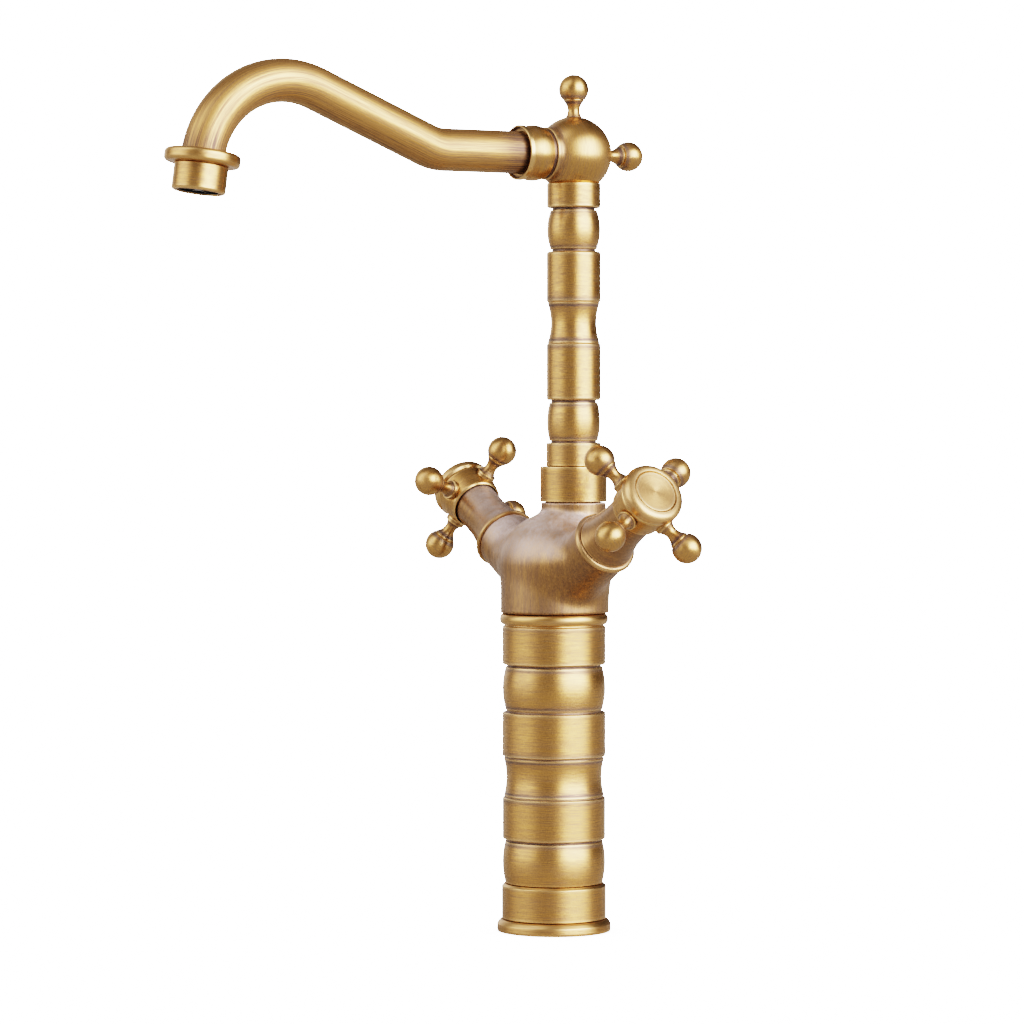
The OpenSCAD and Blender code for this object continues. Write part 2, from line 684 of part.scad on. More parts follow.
module cross_knob(side, j) color("#b0863f") handle_frame(side) cross_frame(side)
    rotate([0, 0, 90 * j]) rotate([0, 90, 0]) translate([0, 0, cross_r - knob_length]) knob(2.1);

deck_gasket();
deck_flange();
base_insert();
base_collar();
riser_tube();
rim_bead();
mixer_body();
supply_tube(-1);  // supply_tube_hot
supply_tube(1);  // supply_tube_cold
supply_tube_seals();
thrust_washer();
retaining_collar();
column_tube();
spigot_seals();
head_ball();
top_finial();
back_finial();
union_nut();
union_ring();
union_seal();
spout_tube();
nozzle_ring();
nozzle_housing();
aerator_washer();
aerator_screen();
aerator_insert();
seat_seal(-1);  // hot_seat_seal
fixed_disc(-1);  // hot_fixed_disc
cartridge(-1);  // hot_cartridge
neck_ring(-1);  // hot_neck_ring
bonnet(-1);  // hot_bonnet
moving_disc(-1);  // hot_moving_disc
spindle(-1);  // hot_spindle
spindle_seals(-1);  // hot_spindle_seals
hub(-1);  // hot_hub
handle_screw(-1);  // hot_handle_screw
cap_ring(-1);  // hot_cap_ring
index_disc(-1);  // hot_index_disc
cross_knob(-1, 0);  // hot_knob_1
cross_knob(-1, 1);  // hot_knob_2
cross_knob(-1, 2);  // hot_knob_3
cross_knob(-1, 3);  // hot_knob_4
seat_seal(1);  // cold_seat_seal
fixed_disc(1);  // cold_fixed_disc
cartridge(1);  // cold_cartridge
neck_ring(1);  // cold_neck_ring
bonnet(1);  // cold_bonnet
moving_disc(1);  // cold_moving_disc
spindle(1);  // cold_spindle
spindle_seals(1);  // cold_spindle_seals
hub(1);  // cold_hub
handle_screw(1);  // cold_handle_screw
cap_ring(1);  // cold_cap_ring
index_disc(1);  // cold_index_disc
cross_knob(1, 0);  // cold_knob_1
cross_knob(1, 1);  // cold_knob_2
cross_knob(1, 2);  // cold_knob_3
cross_knob(1, 3);  // cold_knob_4
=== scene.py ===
import bpy
import bmesh
from math import atan2, cos, degrees, exp, hypot, pi, radians, sin, tan
from mathutils import Matrix, Vector


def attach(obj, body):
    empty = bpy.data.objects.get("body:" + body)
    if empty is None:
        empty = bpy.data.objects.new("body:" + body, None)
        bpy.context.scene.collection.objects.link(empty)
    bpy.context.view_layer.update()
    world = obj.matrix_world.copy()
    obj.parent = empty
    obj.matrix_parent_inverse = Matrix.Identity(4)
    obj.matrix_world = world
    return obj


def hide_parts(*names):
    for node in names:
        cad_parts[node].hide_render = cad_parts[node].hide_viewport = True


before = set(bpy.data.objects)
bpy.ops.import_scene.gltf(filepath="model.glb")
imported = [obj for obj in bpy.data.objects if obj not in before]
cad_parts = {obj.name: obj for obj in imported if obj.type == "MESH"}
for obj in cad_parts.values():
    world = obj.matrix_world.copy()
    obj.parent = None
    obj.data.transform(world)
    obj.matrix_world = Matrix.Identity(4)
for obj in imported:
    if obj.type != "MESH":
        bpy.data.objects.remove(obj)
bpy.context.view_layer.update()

mm = 0.001

# ---- Studio ----
# A plain pale floor with a painted contact shadow under one soft white room. A long lens looks level at the
# faucet from its left front quarter; tall soft boxes stand right and left of it, and a smaller one hangs
# before it.
camera_turn = radians(58)
camera_back = Vector((sin(camera_turn), -cos(camera_turn), 0))
camera_right = Vector((cos(camera_turn), sin(camera_turn), 0))
eye = camera_back * 1.96 + Vector((0, 0, 0.2587))
aim = camera_right * -0.0206 + Vector((0, 0, 0.2058))
camera = bpy.data.objects.new("camera", bpy.data.cameras.new("camera"))
camera.data.sensor_width = 36
camera.data.lens = 140.6
camera.data.clip_start, camera.data.clip_end = 0.05, 60
camera.location = eye
camera.rotation_mode = "QUATERNION"
camera.rotation_quaternion = (aim - eye).to_track_quat("-Z", "Y")
bpy.context.scene.collection.objects.link(camera)
bpy.context.scene.camera = camera
bpy.context.scene.view_settings.view_transform = "Filmic"
bpy.context.scene.view_settings.look = "Very High Contrast"


def add_node(tree, kind, label=None, **settings):
    """A new node in a tree, with its plain settings and its constant inputs."""
    node = tree.nodes.new(kind)
    node.label = label or ""
    for key, value in settings.items():
        if key.startswith("in_"):
            socket = node.inputs[int(key[3:])]
            if isinstance(value, bpy.types.NodeSocket):
                tree.links.new(value, socket)
            else:
                socket.default_value = value
        else:
            setattr(node, key, value)
    return node


def math(tree, operation, *values, clamp=False):
    """The result of one Math node on numbers or sockets."""
    node = add_node(tree, "ShaderNodeMath", operation=operation, use_clamp=clamp)
    for i, value in enumerate(values):
        if isinstance(value, bpy.types.NodeSocket):
            tree.links.new(value, node.inputs[i])
        else:
            node.inputs[i].default_value = value
    return node.outputs[0]


def vector_math(tree, operation, *values):
    """The result of one Vector Math node on vectors or sockets."""
    node = add_node(tree, "ShaderNodeVectorMath", operation=operation)
    for i, value in enumerate(values):
        if isinstance(value, bpy.types.NodeSocket):
            tree.links.new(value, node.inputs[i])
        else:
            node.inputs[i].default_value = value
    return node.outputs["Value" if operation in ("DOT_PRODUCT", "LENGTH") else "Vector"]


def node_group(name, kind, inputs, outputs):
    """An empty node group with named sockets, and its input and output nodes."""
    tree = bpy.data.node_groups.new(name, kind)
    for label, socket, value in inputs:
        made = tree.interface.new_socket(label, in_out="INPUT", socket_type=socket)
        if value is not None:
            made.default_value = value
    for label, socket in outputs:
        tree.interface.new_socket(label, in_out="OUTPUT", socket_type=socket)
    return tree, tree.nodes.new("NodeGroupInput").outputs, tree.nodes.new("NodeGroupOutput").inputs


number, vector, colour, shape = (
    "NodeSocketFloat", "NodeSocketVector", "NodeSocketColor", "NodeSocketGeometry")


def soft_step(tree, value, low, high):
    """0 below low, 1 above high and a smooth change between them."""
    node = add_node(tree, "ShaderNodeMapRange", interpolation_type="SMOOTHSTEP")
    for i, v in enumerate((value, low, high, 0.0, 1.0)):
        if isinstance(v, bpy.types.NodeSocket):
            tree.links.new(v, node.inputs[i])
        else:
            node.inputs[i].default_value = v
    return node.outputs[0]


# One soft box as seen from the faucet: how bright it is in a direction given by its bearing from
# the camera and its height, in degrees.
soft_box, si, so = node_group("soft_box", "ShaderNodeTree", [
    ("Bearing", number, 0.0), ("Height", number, 0.0), ("Centre", number, 0.0),
    ("Half Width", number, 30.0), ("Middle", number, 20.0), ("Half Height", number, 40.0),
    ("Edge", number, 10.0), ("Light", number, 1.0)], [("Glow", number)])
box_across = math(soft_box, "ABSOLUTE", math(soft_box, "SUBTRACT", si["Bearing"], si["Centre"]))
box_up = math(soft_box, "ABSOLUTE", math(soft_box, "SUBTRACT", si["Height"], si["Middle"]))
box_wide = soft_step(soft_box, box_across, math(soft_box, "ADD", si["Half Width"], si["Edge"]),
                     math(soft_box, "SUBTRACT", si["Half Width"], si["Edge"]))
box_tall = soft_step(soft_box, box_up, math(soft_box, "ADD", si["Half Height"], si["Edge"]),
                     math(soft_box, "SUBTRACT", si["Half Height"], si["Edge"]))
soft_box.links.new(
    math(soft_box, "MULTIPLY", math(soft_box, "MULTIPLY", box_wide, box_tall), si["Light"]), so["Glow"])

world = bpy.data.worlds.new("studio")
bpy.context.scene.world = world
world.use_nodes = True
room = world.node_tree
room.nodes.clear()
direction = add_node(room, "ShaderNodeTexCoord").outputs["Generated"]
toward_camera = vector_math(room, "DOT_PRODUCT", direction, camera_back)
toward_right = vector_math(room, "DOT_PRODUCT", direction, camera_right)
bearing = math(room, "MULTIPLY", math(room, "ARCTAN2", toward_right, toward_camera), degrees(1))
upward = add_node(room, "ShaderNodeSeparateXYZ", in_0=direction).outputs[2]
height = math(room, "MULTIPLY", math(room, "ARCSINE", upward), degrees(1))
front_fill = math(room, "MULTIPLY", soft_step(room, toward_camera, -0.5, 0.7), 0.16)
glow = math(room, "ADD", front_fill, 0.08)
for centre, half_width, middle, half_height, edge, light in (
        (50, 30, 8, 33, 16, 6.4),
        (-76, 28, 10, 36, 18, 1.7),
        (-152, 22, 5, 36, 20, 0.8),
        (-48, 22, 52, 14, 14, 1.3)):
    lamp = add_node(room, "ShaderNodeGroup", node_tree=soft_box)
    for label, value in (("Bearing", bearing), ("Height", height)):
        room.links.new(value, lamp.inputs[label])
    for label, value in (("Centre", centre), ("Half Width", half_width), ("Middle", middle),
                         ("Half Height", half_height), ("Edge", edge), ("Light", light)):
        lamp.inputs[label].default_value = value
    glow = math(room, "ADD", glow, lamp.outputs[0])
overhead = math(room, "MULTIPLY", soft_step(room, height, 40.0, 75.0), 0.12)
glow = math(room, "ADD", glow, overhead)
studio_light = add_node(room, "ShaderNodeBackground", in_0=(1, 0.962, 0.955, 1), in_1=glow)
white_room = add_node(room, "ShaderNodeBackground", in_0=(1, 1, 1, 1), in_1=16.0)
camera_ray = add_node(room, "ShaderNodeLightPath").outputs["Is Camera Ray"]
seen = add_node(room, "ShaderNodeMixShader", in_0=camera_ray, in_1=studio_light.outputs[0],
                in_2=white_room.outputs[0])
room.links.new(seen.outputs[0], add_node(room, "ShaderNodeOutputWorld").inputs[0])

floor_mesh = bpy.data.meshes.new("floor")
floor_half = 6.0
floor_mesh.from_pydata(
    [(-floor_half, -floor_half, 0), (floor_half, -floor_half, 0), (floor_half, floor_half, 0),
     (-floor_half, floor_half, 0)], [], [(0, 1, 2, 3)])
floor = bpy.data.objects.new("floor", floor_mesh)
bpy.context.scene.collection.objects.link(floor)
floor_white = bpy.data.materials.new("floor_white")
floor_white.use_nodes = True
table = floor_white.node_tree
table.nodes.clear()
# Painted shadow: to the camera the floor glows white, and an ambient occlusion mask dims that glow where the
# faucet stands close above it, a contact shadow painted into the floor.
close_by = add_node(table, "ShaderNodeAmbientOcclusion", samples=8)
close_by.inputs["Distance"].default_value = 0.05
outside_painted_shadow = soft_step(table, close_by.outputs["AO"], 0.35, 0.95)
floor_glow_with_painted_shadow = math(table, "ADD", math(table, "MULTIPLY", outside_painted_shadow, 12.0), 4.0)
lit_floor = add_node(table, "ShaderNodeEmission", in_0=(1, 1, 1, 1), in_1=floor_glow_with_painted_shadow)
matt_floor = add_node(table, "ShaderNodeBsdfDiffuse", in_0=(0.5, 0.49, 0.48, 1))
floor_seen = add_node(
    table, "ShaderNodeMixShader", in_0=add_node(table, "ShaderNodeLightPath").outputs["Is Camera Ray"],
    in_1=matt_floor.outputs[0], in_2=lit_floor.outputs[0])
table.links.new(floor_seen.outputs[0], add_node(table, "ShaderNodeOutputMaterial").inputs[0])
floor_mesh.materials.append(floor_white)

# ---- Deck gasket and base insert ----
# A flat rubber ring seals the faucet to the deck; inside it the raw brass insert, with its threads
# for the stud and the two hoses, shows only from underneath.


def plain_finish(name, tint, dark_tint, roughness, metallic, grain, bump, coat=0.0):
    """A moulded, pressed or machined finish: two tints mottled by a fine grain, with a light bump."""
    material = bpy.data.materials.new(name)
    material.use_nodes = True
    tree = material.node_tree
    skin = tree.nodes["Principled BSDF"]
    place = add_node(tree, "ShaderNodeTexCoord").outputs["Object"]
    specks = add_node(tree, "ShaderNodeTexNoise", in_0=place)
    specks.inputs["Scale"].default_value = grain
    specks.inputs["Detail"].default_value = 4
    tints = add_node(tree, "ShaderNodeMix", data_type="RGBA")
    tints.inputs["A"].default_value = (*dark_tint, 1)
    tints.inputs["B"].default_value = (*tint, 1)
    tree.links.new(specks.outputs["Fac"], tints.inputs["Factor"])
    tree.links.new(tints.outputs["Result"], skin.inputs["Base Color"])
    rough = math(tree, "ADD", math(tree, "MULTIPLY", specks.outputs["Fac"], 0.16), roughness - 0.08)
    tree.links.new(rough, skin.inputs["Roughness"])
    relief = add_node(tree, "ShaderNodeBump")
    relief.inputs["Strength"].default_value = bump
    relief.inputs["Distance"].default_value = 0.0002
    tree.links.new(specks.outputs["Fac"], relief.inputs["Height"])
    tree.links.new(relief.outputs[0], skin.inputs["Normal"])
    skin.inputs["Metallic"].default_value = metallic
    skin.inputs["Coat Weight"].default_value = coat
    return material


def refinish(material, *nodes):
    """Gives carried-over CAD nodes a finish in every slot."""
    for node in nodes:
        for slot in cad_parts[node].material_slots:
            slot.material = material


gasket_rubber = plain_finish("gasket_rubber", (0.035, 0.034, 0.033), (0.02, 0.02, 0.02), 0.6, 0, 900, 0.3)
machined_brass = plain_finish(
    "machined_brass", (0.66, 0.46, 0.2), (0.5, 0.33, 0.13), 0.34, 1, 420, 0.15)
refinish(gasket_rubber, "deck_gasket", "supply_tube_seals", "spigot_seals", "union_seal",
         "hot_seat_seal", "cold_seat_seal", "hot_spindle_seals", "cold_spindle_seals")
refinish(machined_brass, "base_insert", "hot_cartridge", "cold_cartridge", "hot_spindle",
         "cold_spindle", "hot_handle_screw", "cold_handle_screw")

# ---- Flange and foot collar ----
# Turned brass rings, chemically darkened, then brushed on the lathe so that the tint stays in the
# grooves and rubs through on the edges; the grooves also carry painted shade. The flange carries
# the faucet; the collar hides the joint.


def fillet(points, closed):
    """Rounds the corners of an outline of (radius, height, fillet) points, in mm."""
    made, count = [], len(points)
    for i, point in enumerate(points):
        r, z = point[0], point[1]
        size = point[2] if len(point) > 2 else 0.25
        if not closed and i in (0, count - 1):
            made.append((r, z))
            continue
        before, after = points[i - 1], points[(i + 1) % count]
        a = Vector((before[0] - r, before[1] - z))
        b = Vector((after[0] - r, after[1] - z))
        if a.length < 1e-6 or b.length < 1e-6:
            made.append((r, z))
            continue
        opening = a.angle(b)
        if size == 0 or opening > radians(164):
            made.append((r, z))
            continue
        reach = min(size / tan(opening / 2), 0.45 * a.length, 0.45 * b.length)
        start, end, corner = a.normalized() * reach, b.normalized() * reach, Vector((0, 0))
        for j in range(6):
            t = j / 5
            p = start.lerp(corner, t).lerp(corner.lerp(end, t), t)
            made.append((r + p.x, z + p.y))
    return made


def even_steps(points, closed, step):
    """Adds points to an outline so that no stretch is longer than a step."""
    made = []
    pairs = list(zip(points, points[1:] + points[:1] if closed else points[1:]))
    for (r0, z0), (r1, z1) in pairs:
        length = hypot(r1 - r0, z1 - z0)
        if length < 1e-6:
            continue
        parts = max(1, round(length / step))
        stops = [j / parts for j in range(parts)]
        if parts > 2:
            stops.insert(1, 0.12 / length)
            stops.append(1 - 0.12 / length)
        made.extend((r0 + (r1 - r0) * t, z0 + (z1 - z0) * t) for t in stops)
    if not closed:
        made.append(points[-1])
    return made


def wear_and_shade_along(points, closed, edge_reach=0.4, patina_and_shade_reach=2.2):
    """How exposed and how hollowed each outline point is, from how the outline turns near it. The
    first marks the worn edges; the second marks the patina and the painted shade in grooves and corners.
    """
    count = len(points)
    lengths = [0.0]
    for (r0, z0), (r1, z1) in zip(points, points[1:]):
        lengths.append(lengths[-1] + hypot(r1 - r0, z1 - z0))
    total = lengths[-1] + (hypot(points[0][0] - points[-1][0], points[0][1] - points[-1][1]) if closed else 0)
    turns = []
    for i in range(count):
        if not closed and i in (0, count - 1):
            turns.append(0.0)
            continue
        (r0, z0), (r1, z1), (r2, z2) = points[i - 1], points[i], points[(i + 1) % count]
        a, b = Vector((r1 - r0, z1 - z0)), Vector((r2 - r1, z2 - z1))
        turns.append(atan2(a.x * b.y - a.y * b.x, a.dot(b)))
    exposed, patina_and_shade = [], []
    for i in range(count):
        out = hollow_patina_and_shade = 0.0
        for j in range(count):
            if abs(turns[j]) < 1e-5:
                continue
            gap = abs(lengths[i] - lengths[j])
            if closed:
                gap = min(gap, total - gap)
            if turns[j] > 0:
                out += turns[j] * exp(-((gap / edge_reach) ** 2))
            elif turns[j] < -0.13:
                hollow_patina_and_shade -= turns[j] * exp(-((gap / patina_and_shade_reach) ** 2))
        exposed.append(min(1.0, out / 0.9))
        patina_and_shade.append(min(1.0, hollow_patina_and_shade / 1.1))
    return exposed, patina_and_shade, lengths


def turned_mesh(name, outline, closed=True, facets=128, step=1.2, deep=None):
    """A lathe-turned mesh about local Z from its outline in mm, listed anticlockwise with the
    radius to the right, with the attributes that its finish reads."""
    points = even_steps(fillet(outline, closed), closed, step)
    exposed, patina_and_shade, lengths = wear_and_shade_along(points, closed)
    mesh = bpy.data.meshes.new(name)
    verts, rows, turning, grain, edge, recess = [], [], [], [], [], []
    count = len(points)
    for i, (r, z) in enumerate(points):
        before, after = points[max(i - 1, 0)], points[min(i + 1, count - 1)]
        if closed:
            before, after = points[i - 1], points[(i + 1) % count]
        run = Vector((after[0] - before[0], after[1] - before[1])).normalized()
        sunk_patina_and_shade = patina_and_shade[i] if deep is None else max(patina_and_shade[i], deep(r, z))
        row = []
        for j in range(1 if r < 1e-6 else facets):
            a = 2 * pi * j / facets
            row.append(len(verts))
            verts.append((r * cos(a) * mm, r * sin(a) * mm, z * mm))
            turning.append((cos(a), sin(a), lengths[i]))
            grain.append((run.x * cos(a), run.x * sin(a), run.y))
            edge.append(exposed[i])
            recess.append(sunk_patina_and_shade)
        rows.append(row)
    faces = []
    pairs = list(zip(rows, rows[1:] + rows[:1] if closed else rows[1:]))
    for low, high in pairs:
        for j in range(facets):
            k = (j + 1) % facets
            if len(low) == 1 and len(high) == 1:
                continue
            if len(low) == 1:
                faces.append((low[0], high[k], high[j]))
            elif len(high) == 1:
                faces.append((low[j], low[k], high[0]))
            else:
                faces.append((low[j], low[k], high[k], high[j]))
    mesh.from_pydata(verts, [], faces)
    for label, kind, values in (("turning", "FLOAT_VECTOR", turning), ("grain", "FLOAT_VECTOR", grain)):
        layer = mesh.attributes.new(label, kind, "POINT")
        layer.data.foreach_set("vector", [c for v in values for c in v])
    for label, values in (("edge", edge), ("recess", recess)):
        mesh.attributes.new(label, "FLOAT", "POINT").data.foreach_set("value", values)
    face_outwards(mesh)
    return mesh


def face_outwards(mesh):
    """Turns every face outwards and makes the shading smooth."""
    work = bmesh.new()
    work.from_mesh(mesh)
    bmesh.ops.recalc_face_normals(work, faces=work.faces)
    if work.calc_volume(signed=True) < 0:
        bmesh.ops.reverse_faces(work, faces=work.faces)
    work.to_mesh(mesh)
    work.free()
    mesh.shade_smooth()


def put_mesh(mesh, place):
    """Moves a mesh, and the directions stored on it, from its own frame to the faucet's."""
    turn = place.to_3x3()
    mesh.transform(place)
    layer = mesh.attributes.get("grain")
    if layer:
        for item in layer.data:
            item.vector = turn @ Vector(item.vector)
    return mesh


def fit_piece(name, mesh, material, slot, body, *nodes):
    """Makes a mesh a piece of the faucet: its finish, its body and the CAD nodes it stands for."""
    mesh.materials.clear()
    mesh.materials.append(material)
    piece = bpy.data.objects.new(name, mesh)
    bpy.context.scene.collection.objects.link(piece)
    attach(piece, body)
    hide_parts(*nodes)
    return piece


# Brush lines: fine streaks that run along one direction of a vector and change fast across it.
brush_lines, bi, bo = node_group("brush_lines", "ShaderNodeTree", [
    ("Vector", vector, None), ("Fine", number, 0.5)], [("Lines", number), ("Scratches", number)])
broad_streaks = add_node(brush_lines, "ShaderNodeTexNoise", in_0=bi["Vector"])
broad_streaks.inputs["Scale"].default_value = 0.45
broad_streaks.inputs["Detail"].default_value = 2
fine_streaks = add_node(brush_lines, "ShaderNodeTexNoise", in_0=bi["Vector"])
fine_streaks.inputs["Scale"].default_value = 1.7
fine_streaks.inputs["Detail"].default_value = 3
fine_streaks.inputs["Roughness"].default_value = 0.62
streak_mix = add_node(brush_lines, "ShaderNodeMix", in_0=bi["Fine"], in_2=broad_streaks.outputs["Fac"],
                      in_3=fine_streaks.outputs["Fac"])
brush_lines.links.new(soft_step(brush_lines, streak_mix.outputs[0], 0.3, 0.7), bo["Lines"])
brush_lines.links.new(soft_step(brush_lines, fine_streaks.outputs["Fac"], 0.6, 0.74), bo["Scratches"])

# Aged brass: where the tint stays, with painted shade added in the hollows, where the brush rubs it through,
# where a painted pale sheen lies on upward faces, and how bright the metal is.
aged_brass, ai, ao = node_group("aged_brass", "ShaderNodeTree", [
    ("Place", vector, None), ("Lines", number, 0.5), ("Scratches", number, 0.0),
    ("Edge", number, 0.0), ("Recess", number, 0.0), ("Tint", number, 0.2), ("Streaks", number, 0.3),
    ("Brass", colour, (0.6, 0.36, 0.15, 1)), ("Rubbed", colour, (0.8, 0.55, 0.28, 1)),
    ("Patina", colour, (0.2, 0.13, 0.1, 1)), ("Rough", number, 0.3), ("Painted Sheen", number, 0.0),
    ("Painted Sheen Color", colour, (0.82, 0.71, 0.69, 1))],
    [("Color", colour), ("Roughness", number), ("Metal", number), ("Height", number)])
cloud = add_node(aged_brass, "ShaderNodeTexNoise", in_0=ai["Place"])
cloud.inputs["Scale"].default_value = 38
cloud.inputs["Detail"].default_value = 4
clouding = math(aged_brass, "MULTIPLY_ADD", cloud.outputs["Fac"], 0.9, -0.45)
lining = math(aged_brass, "MULTIPLY", math(aged_brass, "SUBTRACT", 0.5, ai["Lines"]), ai["Streaks"])
tint_and_shade = math(aged_brass, "ADD", math(aged_brass, "ADD", ai["Tint"], lining),
              math(aged_brass, "MULTIPLY", clouding, math(aged_brass, "ADD", ai["Tint"], 0.15)))
# Painted shade: the recess mark pulls the colour toward the patina colour, real tint in the hollows plus
# painted shade where light is blocked.
tint_and_shade = math(aged_brass, "ADD", tint_and_shade, math(aged_brass, "MULTIPLY", ai["Recess"], 0.85), clamp=True)
body_colour = add_node(aged_brass, "ShaderNodeMix", data_type="RGBA")
aged_brass.links.new(tint_and_shade, body_colour.inputs["Factor"])
aged_brass.links.new(ai["Brass"], body_colour.inputs["A"])
aged_brass.links.new(ai["Patina"], body_colour.inputs["B"])
patchy = math(aged_brass, "MULTIPLY_ADD", cloud.outputs["Fac"], 0.8, 0.4)
rubbing = math(aged_brass, "MULTIPLY", ai["Edge"], patchy)
scratched = math(aged_brass, "MULTIPLY", ai["Scratches"], 0.35)
rubbing = math(aged_brass, "MAXIMUM", rubbing, scratched, clamp=True)
worn_colour = add_node(aged_brass, "ShaderNodeMix", data_type="RGBA")
aged_brass.links.new(rubbing, worn_colour.inputs["Factor"])
aged_brass.links.new(body_colour.outputs["Result"], worn_colour.inputs["A"])
aged_brass.links.new(ai["Rubbed"], worn_colour.inputs["B"])
# Painted highlight: a pale mauve sheen painted on faces that look up, away from worn edges and between the
# lines, standing in for the soft light above; it also lowers the metal and raises the roughness there.
painted_sheen_share = math(aged_brass, "MULTIPLY", ai["Painted Sheen"], math(aged_brass, "SUBTRACT", 1.0, rubbing))
painted_sheen_share = math(aged_brass, "MULTIPLY", painted_sheen_share, soft_step(aged_brass, cloud.outputs["Fac"], 0.1, 0.6))
between_lines = math(aged_brass, "MULTIPLY_ADD", ai["Lines"], -0.35, 1.1)
painted_sheen_share = math(aged_brass, "MULTIPLY", painted_sheen_share, between_lines, clamp=True)
painted_sheen_mix = add_node(aged_brass, "ShaderNodeMix", data_type="RGBA")
aged_brass.links.new(painted_sheen_share, painted_sheen_mix.inputs["Factor"])
aged_brass.links.new(worn_colour.outputs["Result"], painted_sheen_mix.inputs["A"])
aged_brass.links.new(ai["Painted Sheen Color"], painted_sheen_mix.inputs["B"])
aged_brass.links.new(painted_sheen_mix.outputs["Result"], ao["Color"])
bare = math(aged_brass, "MULTIPLY", tint_and_shade, math(aged_brass, "SUBTRACT", 1.0, rubbing))
dulled = math(aged_brass, "MULTIPLY_ADD", painted_sheen_share, 0.1, ai["Rough"])
aged_brass.links.new(math(aged_brass, "MULTIPLY_ADD", bare, 0.18, dulled), ao["Roughness"])
metal_left = math(aged_brass, "MULTIPLY_ADD", painted_sheen_share, -0.55, 1.0)
aged_brass.links.new(math(aged_brass, "MULTIPLY_ADD", bare, -0.3, metal_left, clamp=True), ao["Metal"])
aged_brass.links.new(math(aged_brass, "MULTIPLY_ADD", cloud.outputs["Fac"], 0.3, ai["Lines"]), ao["Height"])


def brass_finish(name, brass, rubbed, patina_and_shade_colour, tint, streaks, rough, fine, bump, stretch, by_object=False,
                 slant=(0, 0, 0), stretched_gloss=0.55, painted_sheen=None):
    """One finish of the aged brass. The lines follow the stored turning direction, or the object's
    own coordinates; stretch is how fast the lines change along each of the three. The sheen setting
    is how steep a face starts and stops to take a painted pale sheen on its top, a painted highlight
    of the light above, and how much."""
    material = bpy.data.materials.new(name)
    material.use_nodes = True
    tree = material.node_tree
    skin = tree.nodes["Principled BSDF"]
    place = add_node(tree, "ShaderNodeTexCoord").outputs["Object"]
    source = place
    if not by_object:
        source = add_node(tree, "ShaderNodeAttribute", attribute_name="turning").outputs["Vector"]
    laid = add_node(tree, "ShaderNodeMapping", in_0=source)
    laid.inputs["Rotation"].default_value = slant
    laid.inputs["Scale"].default_value = stretch
    lines = add_node(tree, "ShaderNodeGroup", node_tree=brush_lines)
    tree.links.new(laid.outputs[0], lines.inputs["Vector"])
    lines.inputs["Fine"].default_value = fine
    look = add_node(tree, "ShaderNodeGroup", node_tree=aged_brass)
    tree.links.new(place, look.inputs["Place"])
    tree.links.new(lines.outputs["Lines"], look.inputs["Lines"])
    tree.links.new(lines.outputs["Scratches"], look.inputs["Scratches"])
    # Edge marks the worn edges; Recess marks the patina and the painted shade in hollows.
    for label in ("Edge", "Recess"):
        wear_and_shade_mask = add_node(tree, "ShaderNodeAttribute", attribute_name=label.lower())
        tree.links.new(wear_and_shade_mask.outputs["Fac"], look.inputs[label])
    for label, value in (("Tint", tint), ("Streaks", streaks), ("Rough", rough)):
        look.inputs[label].default_value = value
    # Painted highlight: faces whose normal looks up get the painted sheen.
    if painted_sheen:
        faces_up = add_node(tree, "ShaderNodeSeparateXYZ", in_0=place.node.outputs["Normal"]).outputs[2]
        painted_sheen_on_top = math(tree, "MULTIPLY", soft_step(tree, faces_up, painted_sheen[0], painted_sheen[1]), painted_sheen[2])
        tree.links.new(painted_sheen_on_top, look.inputs["Painted Sheen"])
    for label, value in (("Brass", brass), ("Rubbed", rubbed), ("Patina", patina_and_shade_colour)):
        look.inputs[label].default_value = (*value, 1)
    tree.links.new(look.outputs["Color"], skin.inputs["Base Color"])
    tree.links.new(look.outputs["Roughness"], skin.inputs["Roughness"])
    tree.links.new(look.outputs["Metal"], skin.inputs["Metallic"])
    relief = add_node(tree, "ShaderNodeBump")
    relief.inputs["Strength"].default_value = bump
    relief.inputs["Distance"].default_value = 0.00004
    tree.links.new(look.outputs["Height"], relief.inputs["Height"])
    tree.links.new(relief.outputs[0], skin.inputs["Normal"])
    grain = add_node(tree, "ShaderNodeAttribute", attribute_name="grain").outputs["Vector"]
    facing = add_node(tree, "ShaderNodeVectorTransform", in_0=grain, vector_type="VECTOR",
                      convert_from="OBJECT", convert_to="WORLD")
    tree.links.new(facing.outputs[0], skin.inputs["Tangent"])
    skin.inputs["Anisotropic"].default_value = stretched_gloss
    skin.inputs["Coat Weight"].default_value = 0.25
    skin.inputs["Coat Roughness"].default_value = 0.22
    return material


turned_brass = brass_finish(
    "turned_brass", (0.62, 0.37, 0.14), (0.84, 0.58, 0.29), (0.2, 0.14, 0.115), tint=0.2, streaks=0.62,
    rough=0.31, fine=0.6, bump=0.5, stretch=(2.4, 2.4, 1.6))

flange_outline = [
    (19.0, 1.2), (24.7, 1.2, 0), (24.7, 0.3, 0.1), (27.7, 0.3, 0.3), (28.0, 1.4, 0.8), (27.9, 4.0, 1),
    (26.7, 5.8, 1.5), (25.7, 6.2), (19.0, 6.2)]
fit_piece("flange_turning", turned_mesh("flange_turning", flange_outline),
          turned_brass, "turned_brass", "base", "deck_flange")
collar_outline = [
    (22.05, 6.6), (25.6, 6.6, 0.3), (25.6, 22.5, 0.4), (24.4, 23.6, 0.3), (22.05, 23.6)]
fit_piece("foot_collar_turning", turned_mesh("foot_collar_turning", collar_outline),
          turned_brass, "turned_brass", "base", "base_collar")

# ---- Riser ----
# A thick brass tube turned with two barrels, two plain drums and a waist between narrow grooves.
# It screws down over the insert and up into the mixer body.


